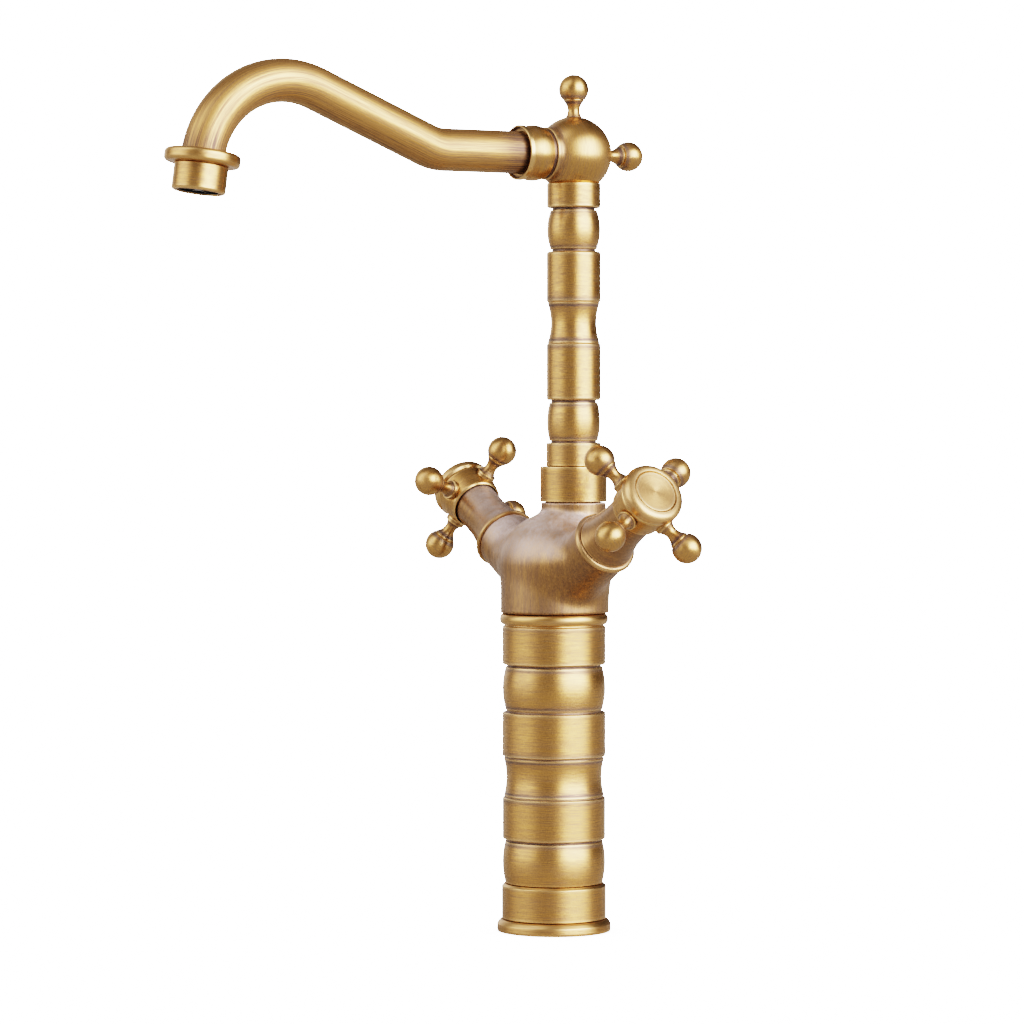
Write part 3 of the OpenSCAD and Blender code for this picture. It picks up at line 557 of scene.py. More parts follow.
def banded_outline(bands, radius, foot):
    """The outline of turned bands, each (length, inset of its ends, inset of its middle, chamfer)."""
    points, z = [], foot
    for length, end_inset, middle_inset, chamfer in bands:
        if end_inset == middle_inset and chamfer >= 0:
            r = radius - end_inset
            points += [(r - chamfer, z, 0.1), (r, z + chamfer, 0.35), (r, z + length - chamfer, 0.35),
                       (r - chamfer, z + length, 0.1)]
        elif end_inset == middle_inset:
            points += [(radius - end_inset, z, 0.2), (radius - end_inset, z + length, 0.2)]
        else:
            for j in range(17):
                t = j / 16
                bulge = (end_inset - middle_inset) * (1 - (2 * t - 1) ** 2)
                points.append((radius - end_inset + bulge, z + length * t, 0.15))
        z += length
    return points


riser_bands = [
    (20.4, 1.4, 0.1, 0), (1.2, 2.1, 2.1, -1), (20.4, 0.1, 0.1, 0.4), (0.8, 1.1, 1.1, -1),
    (18.4, 0.7, 1.9, 0), (1.0, 1.2, 1.2, -1), (21.6, 0, 0, 0.4), (1.2, 2.0, 2.0, -1),
    (21.0, 1.6, 0.1, 0), (1.2, 2.3, 2.3, -1), (19.0, 0, 0, 0.6), (0.6, 1.1, 1.1, -1)]
riser_outline = [(20.4, 24.0)] + banded_outline(riser_bands, 25.3, 24.0) + [(20.4, 150.8)]
fit_piece("riser_turning", turned_mesh("riser_turning", riser_outline),
          turned_brass, "turned_brass", "base", "riser_tube")

# ---- Bead and mixer body ----
# A half-round bead covers the joint under the mixer body. The body is one brass casting in which
# two valve necks and the column turret grow out of a round drum, filed smooth and hand-brushed.
bead_outline = [(22.05, 150.8), (24.6, 150.8, 0.1)]
bead_outline += [(24.6 + 2.0 * sin(radians(a)), 153.5 - 2.7 * cos(radians(a)), 0) for a in range(15, 166, 10)]
bead_outline += [(24.6, 156.2, 0.1), (22.05, 156.2)]
fit_piece("bead_turning", turned_mesh("bead_turning", bead_outline),
          turned_brass, "turned_brass", "base", "rim_bead")

# The casting's distance from its skin, in mm: a domed drum, two tapered necks and a turret, blended.
casting, ci, co = node_group("casting_form", "GeometryNodeTree", [
    ("Position", vector, None), ("Drum Radius", number, 26.2), ("Drum Top", number, 205.0),
    ("Dome", number, 25.0), ("Foot", number, 156.4), ("Apex", number, 165.2),
    ("Neck Radius", number, 14.8), ("Neck Reach", number, 52.0), ("Turret Radius", number, 15.9),
    ("Turret Top", number, 210.4), ("Column Back", number, 11.3), ("Blend", number, 24.0)],
    [("Distance", number)])
in_mm = vector_math(casting, "SCALE", ci["Position"])
in_mm.node.inputs["Scale"].default_value = 1000
spot = add_node(casting, "ShaderNodeSeparateXYZ", in_0=in_mm).outputs


def span(first, second):
    """The length of two distances at right angles to each other."""
    return math(casting, "SQRT", math(casting, "ADD", math(casting, "MULTIPLY", first, first),
                                      math(casting, "MULTIPLY", second, second)))


from_axis = span(spot[0], spot[1])
drum_out = math(casting, "ADD", math(casting, "SUBTRACT", from_axis, ci["Drum Radius"]), ci["Dome"])
drum_up = math(casting, "ADD", math(casting, "SUBTRACT", spot[2], ci["Drum Top"]), ci["Dome"])
drum_corner = math(casting, "SQRT", math(
    casting, "ADD", math(casting, "POWER", math(casting, "MAXIMUM", drum_out, 0.0), 2.0),
    math(casting, "POWER", math(casting, "MAXIMUM", drum_up, 0.0), 2.0)))
drum_inside = math(casting, "MINIMUM", math(casting, "MAXIMUM", drum_out, drum_up), 0.0)
form = math(casting, "SUBTRACT", math(casting, "ADD", drum_corner, drum_inside), ci["Dome"])
above_apex = math(casting, "SUBTRACT", spot[2], ci["Apex"])
above_foot = math(casting, "MULTIPLY_ADD", soft_step(casting, spot[2], 160.0, 186.0), 0.8, 0.2)
clear_of_rings = 1.0
for side in (-1, 1):
    along = math(casting, "ADD", math(casting, "MULTIPLY", spot[0], side * sin(radians(60))),
                 math(casting, "MULTIPLY", above_apex, cos(radians(60))))
    across = math(casting, "SUBTRACT", math(casting, "MULTIPLY", spot[0], cos(radians(60))),
                  math(casting, "MULTIPLY", above_apex, side * sin(radians(60))))
    from_neck = span(across, spot[1])
    clear_of_ring = math(casting, "MULTIPLY_ADD", soft_step(casting, along, 54.0, 34.0), 0.9, 0.1)
    clear_of_rings = math(casting, "MULTIPLY", clear_of_rings, clear_of_ring)
    neck = math(casting, "SUBTRACT", from_neck, ci["Neck Radius"])
    neck = math(casting, "SMOOTH_MAX", neck, math(casting, "SUBTRACT", along, ci["Neck Reach"]), 1.2)
    neck = math(casting, "SMOOTH_MAX", neck, math(casting, "SUBTRACT", 7.0, along), 16.0)
    reach = math(casting, "MULTIPLY", math(casting, "MULTIPLY", clear_of_ring, above_foot), ci["Blend"])
    form = math(casting, "SMOOTH_MIN", form, neck, reach)
behind = math(casting, "SUBTRACT", spot[1], ci["Column Back"])
turret = math(casting, "SUBTRACT", span(spot[0], behind), ci["Turret Radius"])
turret_taper = math(casting, "MULTIPLY", soft_step(casting, spot[2], 186.0, 158.0), 9.0)
turret = math(casting, "ADD", turret, turret_taper)
below_top = math(casting, "MULTIPLY_ADD", soft_step(casting, spot[2], 213.0, 190.0), 0.9, 0.1)
reach = math(casting, "MULTIPLY", math(casting, "MULTIPLY", clear_of_rings, below_top), ci["Blend"])
form = math(casting, "SMOOTH_MIN", form, turret, reach)
form = math(casting, "SMOOTH_MAX", form, math(casting, "SUBTRACT", spot[2], ci["Turret Top"]), 0.8)
form = math(casting, "SMOOTH_MAX", form, math(casting, "SUBTRACT", ci["Foot"], spot[2]), 1.2)
casting.links.new(form, co["Distance"])


def keep_mesh(name, tree, values, carrier=None):
    """Runs a Geometry Nodes tree with its named inputs set and returns the result as a plain mesh."""
    holder = bpy.data.objects.new(name, carrier or bpy.data.meshes.new(name))
    bpy.context.scene.collection.objects.link(holder)
    work = holder.modifiers.new(name, "NODES")
    work.node_group = tree
    for item in tree.interface.items_tree:
        if item.item_type == "SOCKET" and item.in_out == "INPUT" and item.name in values:
            work[item.identifier] = values[item.name]
    bpy.context.view_layer.update()
    evaluated = holder.evaluated_get(bpy.context.evaluated_depsgraph_get())
    mesh = bpy.data.meshes.new_from_object(evaluated)
    holder.modifiers.remove(work)
    bpy.data.objects.remove(holder)
    mesh.name = name
    return mesh


# The casting takes a strong painted sheen on its upper faces: a painted highlight of the light above.
cast_brass = brass_finish(
    "cast_brass", (0.5, 0.3, 0.125), (0.74, 0.5, 0.25), (0.16, 0.105, 0.085), tint=0.44, streaks=0.5,
    rough=0.36, fine=0.5, bump=0.45, stretch=(1150, 1150, 130), by_object=True, slant=(0.25, 0.2, 0),
    stretched_gloss=0.0, painted_sheen=(-0.15, 0.85, 0.85))

body_tree, gi, go = node_group("body_casting", "GeometryNodeTree", [
    ("Voxels Across", "NodeSocketInt", 160), ("Blend", number, 24.0)], [("Geometry", shape)])
casting_block = add_node(body_tree, "GeometryNodeVolumeCube")
block_low, block_high = (-0.0545, -0.0295, 0.1550), (0.0545, 0.0345, 0.2120)
casting_block.inputs["Min"].default_value = block_low
casting_block.inputs["Max"].default_value = block_high
casting_block.inputs["Background"].default_value = -1.0
body_tree.links.new(gi["Voxels Across"], casting_block.inputs["Resolution X"])
for label, share in (("Resolution Y", 64 / 109), ("Resolution Z", 57 / 109)):
    steps = math(body_tree, "MULTIPLY", gi["Voxels Across"], share)
    body_tree.links.new(steps, casting_block.inputs[label])


def distance_at(position):
    """The casting's distance field at a position."""
    field = add_node(body_tree, "GeometryNodeGroup", node_tree=casting)
    body_tree.links.new(position, field.inputs["Position"])
    body_tree.links.new(gi["Blend"], field.inputs["Blend"])
    return field.outputs[0]


where = add_node(body_tree, "GeometryNodeInputPosition").outputs[0]
body_tree.links.new(math(body_tree, "MULTIPLY", distance_at(where), -1.0), casting_block.inputs["Density"])
skinned = add_node(body_tree, "GeometryNodeVolumeToMesh", in_0=casting_block.outputs[0])
skinned.inputs["Threshold"].default_value = 0.0
surface = skinned.outputs[0]
for _ in range(2):
    reach = 0.00005
    here = distance_at(where)
    slopes = [math(body_tree, "SUBTRACT", distance_at(vector_math(body_tree, "ADD", where, step)), here)
              for step in ((reach, 0, 0), (0, reach, 0), (0, 0, reach))]
    slope = add_node(body_tree, "ShaderNodeCombineXYZ", in_0=slopes[0], in_1=slopes[1], in_2=slopes[2])
    outward = vector_math(body_tree, "NORMALIZE", slope.outputs[0])
    steepness = math(body_tree, "MAXIMUM", math(body_tree, "MULTIPLY", vector_math(
        body_tree, "LENGTH", slope.outputs[0]), 20.0), 0.5)
    depth = math(body_tree, "DIVIDE", here, steepness)
    depth = math(body_tree, "MINIMUM", math(body_tree, "MAXIMUM", depth, -0.3), 0.3)
    back = vector_math(body_tree, "SCALE", outward)
    body_tree.links.new(math(body_tree, "MULTIPLY", depth, -0.001), back.node.inputs["Scale"])
    settle = add_node(body_tree, "GeometryNodeSetPosition", in_0=surface)
    body_tree.links.new(back, settle.inputs["Offset"])
    surface = settle.outputs[0]
smooth_body = add_node(body_tree, "GeometryNodeSetShadeSmooth", in_0=surface)
whole_body = add_node(body_tree, "GeometryNodeRealizeInstances", in_0=smooth_body.outputs[0])
finished_body = add_node(body_tree, "GeometryNodeSetMaterial", in_0=whole_body.outputs[0])
finished_body.inputs["Material"].default_value = cast_brass
body_tree.links.new(finished_body.outputs[0], go["Geometry"])
body_mesh = keep_mesh("body_casting", body_tree, {"Voxels Across": 160, "Blend": 24.0})
fit_piece("body_casting", body_mesh, cast_brass, "cast_brass", "base", "mixer_body")

# ---- Water ways inside ----
# Two copper tubes carry the water up the riser; ceramic discs turn on each other in the cartridges.
# None of it shows once the faucet is together.
drawn_copper = plain_finish("drawn_copper", (0.72, 0.36, 0.22), (0.5, 0.22, 0.13), 0.35, 1, 300, 0.12)
ceramic = plain_finish("ceramic", (0.86, 0.84, 0.79), (0.78, 0.76, 0.71), 0.25, 0, 1200, 0.05)
white_plastic = plain_finish("white_plastic", (0.8, 0.8, 0.78), (0.72, 0.72, 0.7), 0.4, 0, 700, 0.1)
refinish(drawn_copper, "supply_tube_hot", "supply_tube_cold")
refinish(ceramic, "hot_fixed_disc", "cold_fixed_disc", "hot_moving_disc", "cold_moving_disc")
refinish(white_plastic, "thrust_washer")

# ---- Retaining collar and column ----
# The collar screws to the turret and holds the column down, free to turn. The column is turned from
# one bar with the same barrels, drums and waist as the riser, at half its size.
column_axis = Matrix.Translation((0, 0.0113, 0))
retaining_outline = [
    (14.5, 210.8), (16.4, 210.8, 0.4), (16.4, 228.1, 0.4), (13.4, 228.1), (13.4, 221.3), (14.5, 221.3)]
fit_piece("retaining_collar_turning",
          put_mesh(turned_mesh("retaining_collar_turning", retaining_outline), column_axis),
          turned_brass, "turned_brass", "base", "retaining_collar")
column_bands = [
    (11.5, -0.1, -0.1, 0.3), (1.1, 2.1, 2.1, -1), (18.6, 1.4, 0.2, 0), (1.2, 2.2, 2.2, -1),
    (28.1, 0, 0, 0.8), (19.8, 0.4, 2.1, 0), (25.0, 0, 0, 0.8), (1.2, 2.6, 2.6, -1),
    (19.0, 1.9, 0.2, 0), (1.2, 2.8, 2.8, -1), (12.3, 0.1, 0.1, 0.6)]
column_outline = [(8, 228.2, 0.1)] + banded_outline(column_bands, 13.25, 228.2) + [(8, 367.2, 0.1)]
fit_piece("column_turning", put_mesh(turned_mesh("column_turning", column_outline, facets=96), column_axis),
          turned_brass, "turned_brass", "spout", "column_tube")

# ---- Head and finials ----
# The ball head is turned about the spout's axis and faced flat where it stands on the column. Two
# ball finials on waisted stems screw into spot faces on its top and its back.
head_centre = Vector((0, 11.3, 381.0))
ball = 18.6
head_outline = [(0, -ball)]
head_outline += [(ball * sin(radians(a)), -ball * cos(radians(a)), 0) for a in range(3, 136, 3)]
ring_foot = 14.0
head_outline = [p for p in head_outline if p[1] < ring_foot]
head_outline += [(12.9, 14.0, 0.2), (12.9, 16.6, 0.7), (11.6, 16.6, 0.3), (11.6, 27.0, 0.2), (0, 27.0)]
head_mesh = turned_mesh("head_casting", head_outline, closed=False)
put_mesh(head_mesh, Matrix.Translation(head_centre * mm) @ Matrix.Rotation(radians(90), 4, "X"))
flat = bmesh.new()
flat.from_mesh(head_mesh)
bmesh.ops.bisect_plane(
    flat, geom=flat.verts[:] + flat.edges[:] + flat.faces[:], plane_co=(0, 0, 0.3671),
    plane_no=(0, 0, -1), clear_outer=True)
bmesh.ops.holes_fill(flat, edges=[e for e in flat.edges if e.is_boundary], sides=0)
flat.to_mesh(head_mesh)
flat.free()
face_outwards(head_mesh)
fit_piece("head_casting", head_mesh, turned_brass, "turned_brass", "spout", "head_ball")


def knob_outline(drop):
    """A ball on a waisted stem, standing on a foot at height 0 and sunk by a drop, in mm."""
    ball_r, waist, foot, ball_z = 7.3, 2.9, 4.9, 14.2
    stem = ball_z - 0.66 * ball_r - 0.5
    points = [(0, -drop), (foot, -drop, 0.2), (foot, 0.3, 0.3)]
    for j in range(1, 25):
        t = j / 24
        points.append((waist + (foot - waist) * abs(2 * t - 0.9) ** 1.9 * 0.96, stem * t, 0.1))
    points += [(4.9, stem + 0.05, 0.1), (4.9, stem + 0.42, 0.15), (4.5, stem + 0.5, 0.05)]
    start = degrees(atan2(4.6, 0.66 * ball_r))
    points += [(ball_r * sin(radians(180 - a)), ball_z + ball_r * cos(radians(180 - a)), 0)
               for a in [start + (180 - start) * j / 30 for j in range(1, 30)]]
    return points + [(0, ball_z + ball_r)]


finial_foot = 17.6
for label, place in (
        ("top_finial", Matrix.Translation((head_centre + Vector((0, 0, finial_foot))) * mm)),
        ("back_finial", Matrix.Translation((head_centre + Vector((0, finial_foot, 0))) * mm)
         @ Matrix.Rotation(radians(-90), 4, "X"))):
    finial = turned_mesh(label + "_turning", knob_outline(0), closed=False, facets=64, step=0.8)
    fit_piece(label + "_turning", put_mesh(finial, place), turned_brass, "turned_brass", "spout", label)

# ---- Union ----
# A barrel-shaped nut and a bright lipped ring clamp the spout tube to the head's stub, with a dark
# gap left round the tube.
along_spout = Matrix.Translation(head_centre * mm) @ Matrix.Rotation(radians(90), 4, "X")
nut_outline = [(11.65, 18.2)] + [
    (13.6 - 1.3 * (2 * j / 16 - 1) ** 2, 18.2 + 11.4 * j / 16, 0.2) for j in range(17)] + [(11.65, 29.6)]
fit_piece("union_nut_turning", put_mesh(turned_mesh("union_nut_turning", nut_outline), along_spout),
          turned_brass, "turned_brass", "spout", "union_nut")
union_outline = [
    (10.4, 29.8), (12.9, 29.8, 0.2), (13.4, 30.2, 0.3), (13.4, 32.1, 0.4), (13.1, 32.5, 0.2),
    (12.5, 32.5, 0.2), (12.5, 30.6, 0.2), (10.4, 30.6, 0.2)]
fit_piece("union_ring_turning", put_mesh(turned_mesh("union_ring_turning", union_outline), along_spout),
          turned_brass, "turned_brass", "spout", "union_ring")

# ---- Spout tube ----
# A drawn brass tube bent twice: up out of the union and over into the crook above the nozzle. It is
# brushed along its length by hand, so its lines follow the bends.
tube_brass = brass_finish(
    "tube_brass", (0.58, 0.35, 0.14), (0.78, 0.54, 0.27), (0.16, 0.1, 0.07), tint=0.3, streaks=1.0,
    rough=0.34, fine=0.6, bump=0.6, stretch=(17, 17, 0.03))
rise = radians(22.2)
lean = radians(8)
level_end = Vector((0, 11.3 - 74.2, 381.0))
first_bend, crook, rise_run, nozzle_run = 25.0, 43.8, 65.0, 16.2
heading_rise = Vector((0, -cos(rise), sin(rise)))
heading_drop = Vector((0, -sin(lean), -cos(lean)))
first_corner = level_end + Vector((0, -1, 0)) * first_bend * tan(rise / 2)
crook_turn = rise + pi / 2 - lean
rise_length = first_bend * tan(rise / 2) + rise_run + crook * tan(crook_turn / 2)
crook_corner = first_corner + heading_rise * rise_length
nozzle_tip = crook_corner + heading_drop * (crook * tan(crook_turn / 2) + nozzle_run)
tube_stop = nozzle_tip - heading_drop * 9.0
tube_start = head_centre + Vector((0, -16.0, 0))

spout_tree, gi, go = node_group("bent_tube", "GeometryNodeTree", [
    ("Start", vector, None), ("First Corner", vector, None), ("Crook Corner", vector, None),
    ("Stop", vector, None), ("First Bend", number, 0.025), ("Crook", number, 0.0438),
    ("Tube Radius", number, 0.0103), ("Length Step", number, 0.0016)], [("Geometry", shape)])
stations = add_node(spout_tree, "GeometryNodePoints", in_0=4)
corner = add_node(spout_tree, "GeometryNodeIndexSwitch", data_type="VECTOR")
bend_radius = add_node(spout_tree, "GeometryNodeIndexSwitch", data_type="FLOAT")
for switch in (corner, bend_radius):
    switch.index_switch_items.new()
    switch.index_switch_items.new()
    spout_tree.links.new(add_node(spout_tree, "GeometryNodeInputIndex").outputs[0], switch.inputs["Index"])
for i, label in enumerate(("Start", "First Corner", "Crook Corner", "Stop")):
    spout_tree.links.new(gi[label], corner.inputs[i + 1])
spout_tree.links.new(gi["First Bend"], bend_radius.inputs[2])
spout_tree.links.new(gi["Crook"], bend_radius.inputs[3])
spout_tree.links.new(corner.outputs[0], stations.inputs["Position"])
route = add_node(spout_tree, "GeometryNodePointsToCurves", in_0=stations.outputs[0])
bent = add_node(spout_tree, "GeometryNodeFilletCurve", in_0=route.outputs[0], mode="POLY")
bent.inputs["Count"].default_value = 40
spout_tree.links.new(bend_radius.outputs[0], bent.inputs["Radius"])
stepped = add_node(spout_tree, "GeometryNodeResampleCurve", in_0=bent.outputs[0], mode="LENGTH")
spout_tree.links.new(gi["Length Step"], stepped.inputs["Length"])
section = add_node(spout_tree, "GeometryNodeCurvePrimitiveCircle")
section.inputs["Resolution"].default_value = 72
spout_tree.links.new(gi["Tube Radius"], section.inputs["Radius"])
run_at = add_node(spout_tree, "GeometryNodeSplineParameter")
kept_run = add_node(spout_tree, "GeometryNodeCaptureAttribute", in_0=stepped.outputs[0])
kept_run.capture_items.new("FLOAT", "Run")
kept_run.capture_items.new("FLOAT", "Share")
kept_run.capture_items.new("VECTOR", "Heading")
spout_tree.links.new(run_at.outputs["Length"], kept_run.inputs["Run"])
spout_tree.links.new(run_at.outputs["Factor"], kept_run.inputs["Share"])
spout_tree.links.new(add_node(spout_tree, "GeometryNodeInputTangent").outputs[0], kept_run.inputs["Heading"])
kept_turn = add_node(spout_tree, "GeometryNodeCaptureAttribute", in_0=section.outputs[0])
kept_turn.capture_items.new("FLOAT", "Turn")
turn_share = add_node(spout_tree, "GeometryNodeSplineParameter").outputs["Factor"]
spout_tree.links.new(math(spout_tree, "MULTIPLY", turn_share, 2 * pi), kept_turn.inputs["Turn"])
swept = add_node(spout_tree, "GeometryNodeCurveToMesh", in_0=kept_run.outputs[0])
spout_tree.links.new(kept_turn.outputs[0], swept.inputs["Profile Curve"])
swept.inputs["Fill Caps"].default_value = True
lay = add_node(spout_tree, "ShaderNodeCombineXYZ")
spout_tree.links.new(math(spout_tree, "COSINE", kept_turn.outputs["Turn"]), lay.inputs[0])
spout_tree.links.new(math(spout_tree, "SINE", kept_turn.outputs["Turn"]), lay.inputs[1])
spout_tree.links.new(math(spout_tree, "MULTIPLY", kept_run.outputs["Run"], 1000.0), lay.inputs[2])
around = vector_math(spout_tree, "CROSS_PRODUCT", kept_run.outputs["Heading"],
                     add_node(spout_tree, "GeometryNodeInputNormal").outputs[0])
# Painted shade and patina: the tube darkens over its last stretch into the union and near the nozzle, where
# the rings shade it.
near_union = soft_step(spout_tree, kept_run.outputs["Run"], 0.036, 0.019)
near_nozzle = soft_step(spout_tree, kept_run.outputs["Share"], 0.9, 0.955)
patina_and_shade_at_ends = math(spout_tree, "MULTIPLY", math(spout_tree, "MAXIMUM", near_union, near_nozzle), 0.6)
tube = swept.outputs[0]
for label, kind, value in (("turning", "FLOAT_VECTOR", lay.outputs[0]), ("grain", "FLOAT_VECTOR", around),
                           ("recess", "FLOAT", patina_and_shade_at_ends)):
    stored = add_node(spout_tree, "GeometryNodeStoreNamedAttribute", in_0=tube, data_type=kind,
                      domain="POINT")
    stored.inputs["Name"].default_value = label
    spout_tree.links.new(value, stored.inputs["Value"])
    tube = stored.outputs[0]
smooth_tube = add_node(spout_tree, "GeometryNodeSetShadeSmooth", in_0=tube)
whole_tube = add_node(spout_tree, "GeometryNodeRealizeInstances", in_0=smooth_tube.outputs[0])
finished_tube = add_node(spout_tree, "GeometryNodeSetMaterial", in_0=whole_tube.outputs[0])
finished_tube.inputs["Material"].default_value = tube_brass
spout_tree.links.new(finished_tube.outputs[0], go["Geometry"])
tube_mesh = keep_mesh("spout_bent_tube", spout_tree, {
    "Start": tube_start * mm, "First Corner": first_corner * mm, "Crook Corner": crook_corner * mm,
    "Stop": tube_stop * mm, "First Bend": first_bend * mm, "Crook": crook * mm,
    "Tube Radius": 0.0103, "Length Step": 0.0016})
face_outwards(tube_mesh)
fit_piece("spout_bent_tube", tube_mesh, tube_brass, "tube_brass", "spout", "spout_tube")

# ---- Nozzle and aerator ----
# A full-round ring and a turned housing screw on the tube's end. Inside the housing sit a rubber
# washer, a pressed steel screen and a dark moulded cage that break up the stream.
nozzle_axis = Matrix.Translation(nozzle_tip * mm) @ Matrix.Rotation(-lean, 4, "X")
nozzle_ring_outline = [(10.44, 12.9)]
for first, edge_height in ((0, 14.97), (90, 17.03)):
    nozzle_ring_outline += [
        (15.83 + 2.07 * sin(radians(a)), edge_height - 2.07 * cos(radians(a)), 0)
        for a in range(first, first + 91, 10)]
nozzle_ring_outline += [(10.44, 19.1)]
fit_piece("nozzle_ring_turning",
          put_mesh(turned_mesh("nozzle_ring_turning", nozzle_ring_outline), nozzle_axis),
          turned_brass, "turned_brass", "spout", "nozzle_ring")
housing_outline = [
    (11.0, 0.0, 0.15), (11.5, 0.0, 0.2), (12.35, 0.35, 0.5), (12.7, 1.2, 0.6), (12.7, 12.5, 0.3),
    (12.4, 12.8, 0.1), (10.35, 12.8), (10.35, 8.9), (11.0, 8.9)]
fit_piece("nozzle_housing_turning",
          put_mesh(turned_mesh("nozzle_housing_turning", housing_outline), nozzle_axis),
          turned_brass, "turned_brass", "spout", "nozzle_housing")
dark_plastic = plain_finish(
    "dark_plastic", (0.05, 0.055, 0.075), (0.03, 0.03, 0.04), 0.3, 0, 800, 0.1, coat=0.3)
screen_steel = plain_finish("screen_steel", (0.55, 0.56, 0.6), (0.4, 0.41, 0.45), 0.3, 1, 900, 0.1)
refinish(gasket_rubber, "aerator_washer")
refinish(screen_steel, "aerator_screen")
refinish(dark_plastic, "aerator_insert")

# ---- Necks and bonnets ----
# A lipped ring closes each valve neck and a flared cast bonnet covers the cartridge above it, left
# darker than the turned work.
# The bonnets take a lighter painted sheen on their upper faces: a painted highlight.
bonnet_brass = brass_finish(
    "bonnet_brass", (0.50, 0.3, 0.125), (0.74, 0.5, 0.25), (0.18, 0.12, 0.1), tint=0.4, streaks=0.35,
    rough=0.3, fine=0.4, bump=0.35, stretch=(2.4, 2.4, 1.2), stretched_gloss=0.3, painted_sheen=(0.1, 0.9, 0.6))
apex = Vector((0, 0, 165.2))


def handle_axis(side):
    """Frame of one handle: local Z runs out along its axis; side is 1 for cold and -1 for hot."""
    return Matrix.Translation(apex * mm) @ Matrix.Rotation(side * radians(60), 4, "Y")


neck_ring_outline = [
    (11.0, 52.0), (14.8, 52.0, 0.2), (15.7, 52.3, 0.3), (16.0, 53.0, 0.4), (15.9, 53.7, 0.3),
    (15.1, 54.6, 0.3), (14.5, 54.8, 0.2), (11.0, 54.8)]
bonnet_outline = [(10.0, 55.1, 0.2)] + [
    (11.4 + 2.7 * (1 - j / 20) ** 2, 55.1 + j, 0.1) for j in range(21)] + [
    (11.4, 86.3, 0.2), (10.0, 86.3, 0.2)]
for side, label in ((-1, "hot"), (1, "cold")):
    place = handle_axis(side)
    fit_piece(label + "_neck_ring_turning",
              put_mesh(turned_mesh(label + "_neck_ring_turning", neck_ring_outline, facets=96), place),
              bonnet_brass, "turned_brass", "base", label + "_neck_ring")
    fit_piece(label + "_bonnet_casting",
              put_mesh(turned_mesh(label + "_bonnet_casting", bonnet_outline, facets=96), place),
              bonnet_brass, "cast_brass", "base", label + "_bonnet")

# ---- Cross handles ----
# Each handle is a turned hub with four ball knobs screwed into spot faces round it, a rounded cap
# ring and a plain dished disc pressed into the cap.
cap_brass = brass_finish(
    "cap_brass", (0.68, 0.43, 0.2), (0.84, 0.6, 0.33), (0.2, 0.13, 0.09), tint=0.12, streaks=0.35,
    rough=0.33, fine=0.6, bump=0.4, stretch=(1.6, 1.6, 2.4), stretched_gloss=0.6)
hub_outline = [
    (8.5, 80.0), (8.6, 80.0, 0.2), (8.6, 88.0, 0.1), (12.1, 88.0, 0.4), (12.1, 84.9, 0.2), (12.4, 84.9, 0.2),
    (13.1, 85.6, 0.4), (14.1, 92.0, 2.0), (14.6, 97.6, 0.4), (14.1, 98.2, 0.2), (11.0, 98.2, 0.2),
    (11.0, 95.0, 0.2), (8.5, 95.0)]
cap_outline = [
    (9.3, 98.55), (14.2, 98.55, 0.3), (15.4, 99.55, 0.6)] + [
    (12.0 + 3.4 * cos(radians(a)), 101.55 + 3.4 * sin(radians(a)), 0) for a in range(0, 91, 6)] + [
    (11.25, 104.95, 0.15), (11.0, 104.6, 0), (11.0, 103.15, 0), (9.3, 103.15, 0.1)]
disc_outline = [
    (0, 103.15), (10.9, 103.15, 0.1), (10.9, 103.5, 0.1), (10.6, 103.6, 0.05), (10.6, 104.5, 0.15),
    (10.3, 104.8, 0.25), (5.5, 104.62, 2), (0, 104.45)]
knob_seat = 13.0
cross_plane = 92.0
knob_tree, gi, go = node_group("cross_knobs", "GeometryNodeTree", [
    ("Knob", "NodeSocketObject", None), ("Count", "NodeSocketInt", 4), ("First Turn", number, 0.0),
    ("Seat Radius", number, 0.0151)], [("Geometry", shape)])
one_knob = add_node(knob_tree, "GeometryNodeObjectInfo")
knob_tree.links.new(gi["Knob"], one_knob.inputs["Object"])
seats = add_node(knob_tree, "GeometryNodePoints")
knob_tree.links.new(gi["Count"], seats.inputs["Count"])
knob_index = add_node(knob_tree, "GeometryNodeInputIndex").outputs[0]
knob_turn = math(knob_tree, "ADD", math(
    knob_tree, "MULTIPLY", knob_index, math(knob_tree, "DIVIDE", 2 * pi, gi["Count"])), gi["First Turn"])
seat_at = add_node(knob_tree, "ShaderNodeCombineXYZ")
knob_tree.links.new(math(knob_tree, "MULTIPLY", math(knob_tree, "COSINE", knob_turn), gi["Seat Radius"]),
                    seat_at.inputs[0])
knob_tree.links.new(math(knob_tree, "MULTIPLY", math(knob_tree, "SINE", knob_turn), gi["Seat Radius"]),
                    seat_at.inputs[1])
knob_tree.links.new(seat_at.outputs[0], seats.inputs["Position"])
marked = add_node(knob_tree, "GeometryNodeStoreNamedAttribute", in_0=seats.outputs[0], data_type="FLOAT",
                  domain="POINT")
marked.inputs["Name"].default_value = "seat_turn"
knob_tree.links.new(knob_turn, marked.inputs["Value"])
seat_facing = add_node(knob_tree, "ShaderNodeCombineXYZ")
knob_tree.links.new(knob_turn, seat_facing.inputs[2])
planted = add_node(knob_tree, "GeometryNodeInstanceOnPoints", in_0=marked.outputs[0])
knob_tree.links.new(one_knob.outputs["Geometry"], planted.inputs["Instance"])
knob_tree.links.new(seat_facing.outputs[0], planted.inputs["Rotation"])
knobs_real = add_node(knob_tree, "GeometryNodeRealizeInstances", in_0=planted.outputs[0])
old_grain = add_node(knob_tree, "GeometryNodeInputNamedAttribute", data_type="FLOAT_VECTOR")
old_grain.inputs["Name"].default_value = "grain"
seat_turn = add_node(knob_tree, "GeometryNodeInputNamedAttribute", data_type="FLOAT")
seat_turn.inputs["Name"].default_value = "seat_turn"
turned_grain = add_node(knob_tree, "ShaderNodeVectorRotate", rotation_type="Z_AXIS")
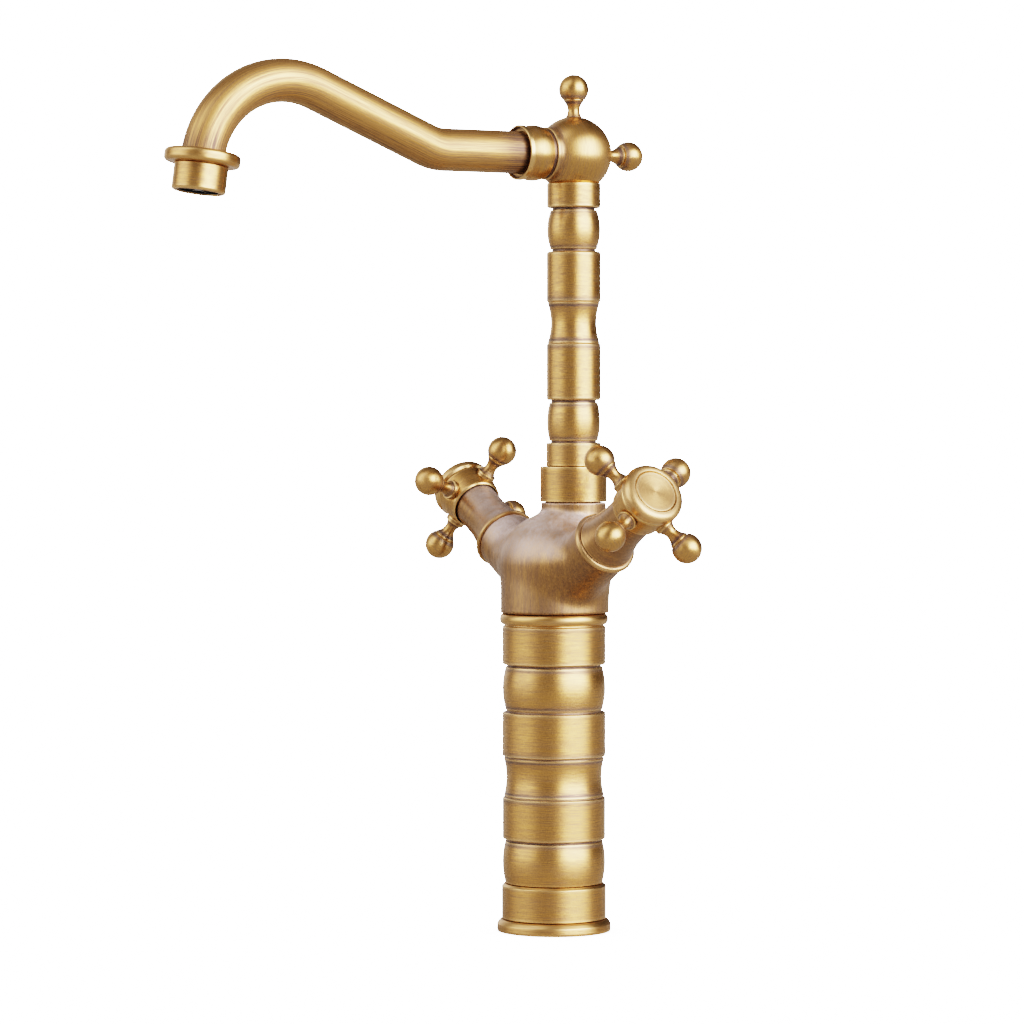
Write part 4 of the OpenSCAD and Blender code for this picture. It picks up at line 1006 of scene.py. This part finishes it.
knob_tree.links.new(old_grain.outputs[0], turned_grain.inputs["Vector"])
knob_tree.links.new(seat_turn.outputs[0], turned_grain.inputs["Angle"])
regrained = add_node(knob_tree, "GeometryNodeStoreNamedAttribute", in_0=knobs_real.outputs[0],
                     data_type="FLOAT_VECTOR", domain="POINT")
regrained.inputs["Name"].default_value = "grain"
knob_tree.links.new(turned_grain.outputs[0], regrained.inputs["Value"])
finished_knobs = add_node(knob_tree, "GeometryNodeSetMaterial", in_0=regrained.outputs[0])
finished_knobs.inputs["Material"].default_value = turned_brass
knob_tree.links.new(finished_knobs.outputs[0], go["Geometry"])

knob_mesh = turned_mesh("cross_knob", knob_outline(2.0), closed=False, facets=56, step=0.9)
put_mesh(knob_mesh, Matrix.Rotation(radians(90), 4, "Y"))
knob_pattern = bpy.data.objects.new("cross_knob", knob_mesh)
bpy.context.scene.collection.objects.link(knob_pattern)
for side, label, first_turn in ((-1, "hot", 20.5), (1, "cold", 35.0)):
    place = handle_axis(side)
    hub = turned_mesh(label + "_hub_turning", hub_outline)
    cutter_mesh = bpy.data.meshes.new("spot_face")
    cutter = bmesh.new()
    for j in range(4):
        turn = radians(first_turn + 90 * j)
        reach = Matrix.Rotation(turn, 4, "Z") @ Matrix.Translation((knob_seat + 3, 0, cross_plane))
        bmesh.ops.create_cone(
            cutter, cap_ends=True, segments=48, radius1=5.1, radius2=5.1, depth=6,
            matrix=reach @ Matrix.Rotation(radians(90), 4, "Y"))
    cutter.to_mesh(cutter_mesh)
    cutter.free()
    cutter_mesh.transform(Matrix.Scale(mm, 4))
    # Painted shade and patina: the spot-face walls get a full recess mark, so they show dark round each knob
    # foot.
    seat_patina_and_shade = cutter_mesh.attributes.new("recess", "FLOAT", "POINT")
    seat_patina_and_shade.data.foreach_set("value", [1.0] * len(cutter_mesh.vertices))
    spot_face = bpy.data.objects.new("spot_face", cutter_mesh)
    blank = bpy.data.objects.new("hub_blank", hub)
    for item in (spot_face, blank):
        bpy.context.scene.collection.objects.link(item)
    drilling = blank.modifiers.new("drilling", "BOOLEAN")
    drilling.operation, drilling.object, drilling.solver = "DIFFERENCE", spot_face, "EXACT"
    bpy.context.view_layer.update()
    drilled = bpy.data.meshes.new_from_object(blank.evaluated_get(bpy.context.evaluated_depsgraph_get()))
    drilled.name = label + "_hub_turning"
    bpy.data.objects.remove(blank)
    bpy.data.objects.remove(spot_face)
    fit_piece(label + "_hub_turning", put_mesh(drilled, place), turned_brass, "turned_brass",
              label + "_handle", label + "_hub")
    knobs = keep_mesh(label + "_cross_knobs", knob_tree, {
        "Knob": knob_pattern, "Count": 4, "First Turn": radians(first_turn), "Seat Radius": 0.0151})
    knobs.transform(Matrix.Translation((0, 0, cross_plane * mm)))
    knobs.shade_smooth()
    fit_piece(label + "_cross_knobs", put_mesh(knobs, place), turned_brass, "turned_brass",
              label + "_handle", *(f"{label}_knob_{j}" for j in range(1, 5)))
    fit_piece(label + "_cap_ring_turning",
              put_mesh(turned_mesh(label + "_cap_ring_turning", cap_outline), place),
              cap_brass, "cap_brass", label + "_handle", label + "_cap_ring")
    fit_piece(label + "_index_disc_turning",
              put_mesh(turned_mesh(label + "_index_disc_turning", disc_outline,
                                   closed=False, facets=96), place),
              cap_brass, "cap_brass", label + "_handle", label + "_index_disc")
bpy.data.objects.remove(knob_pattern)
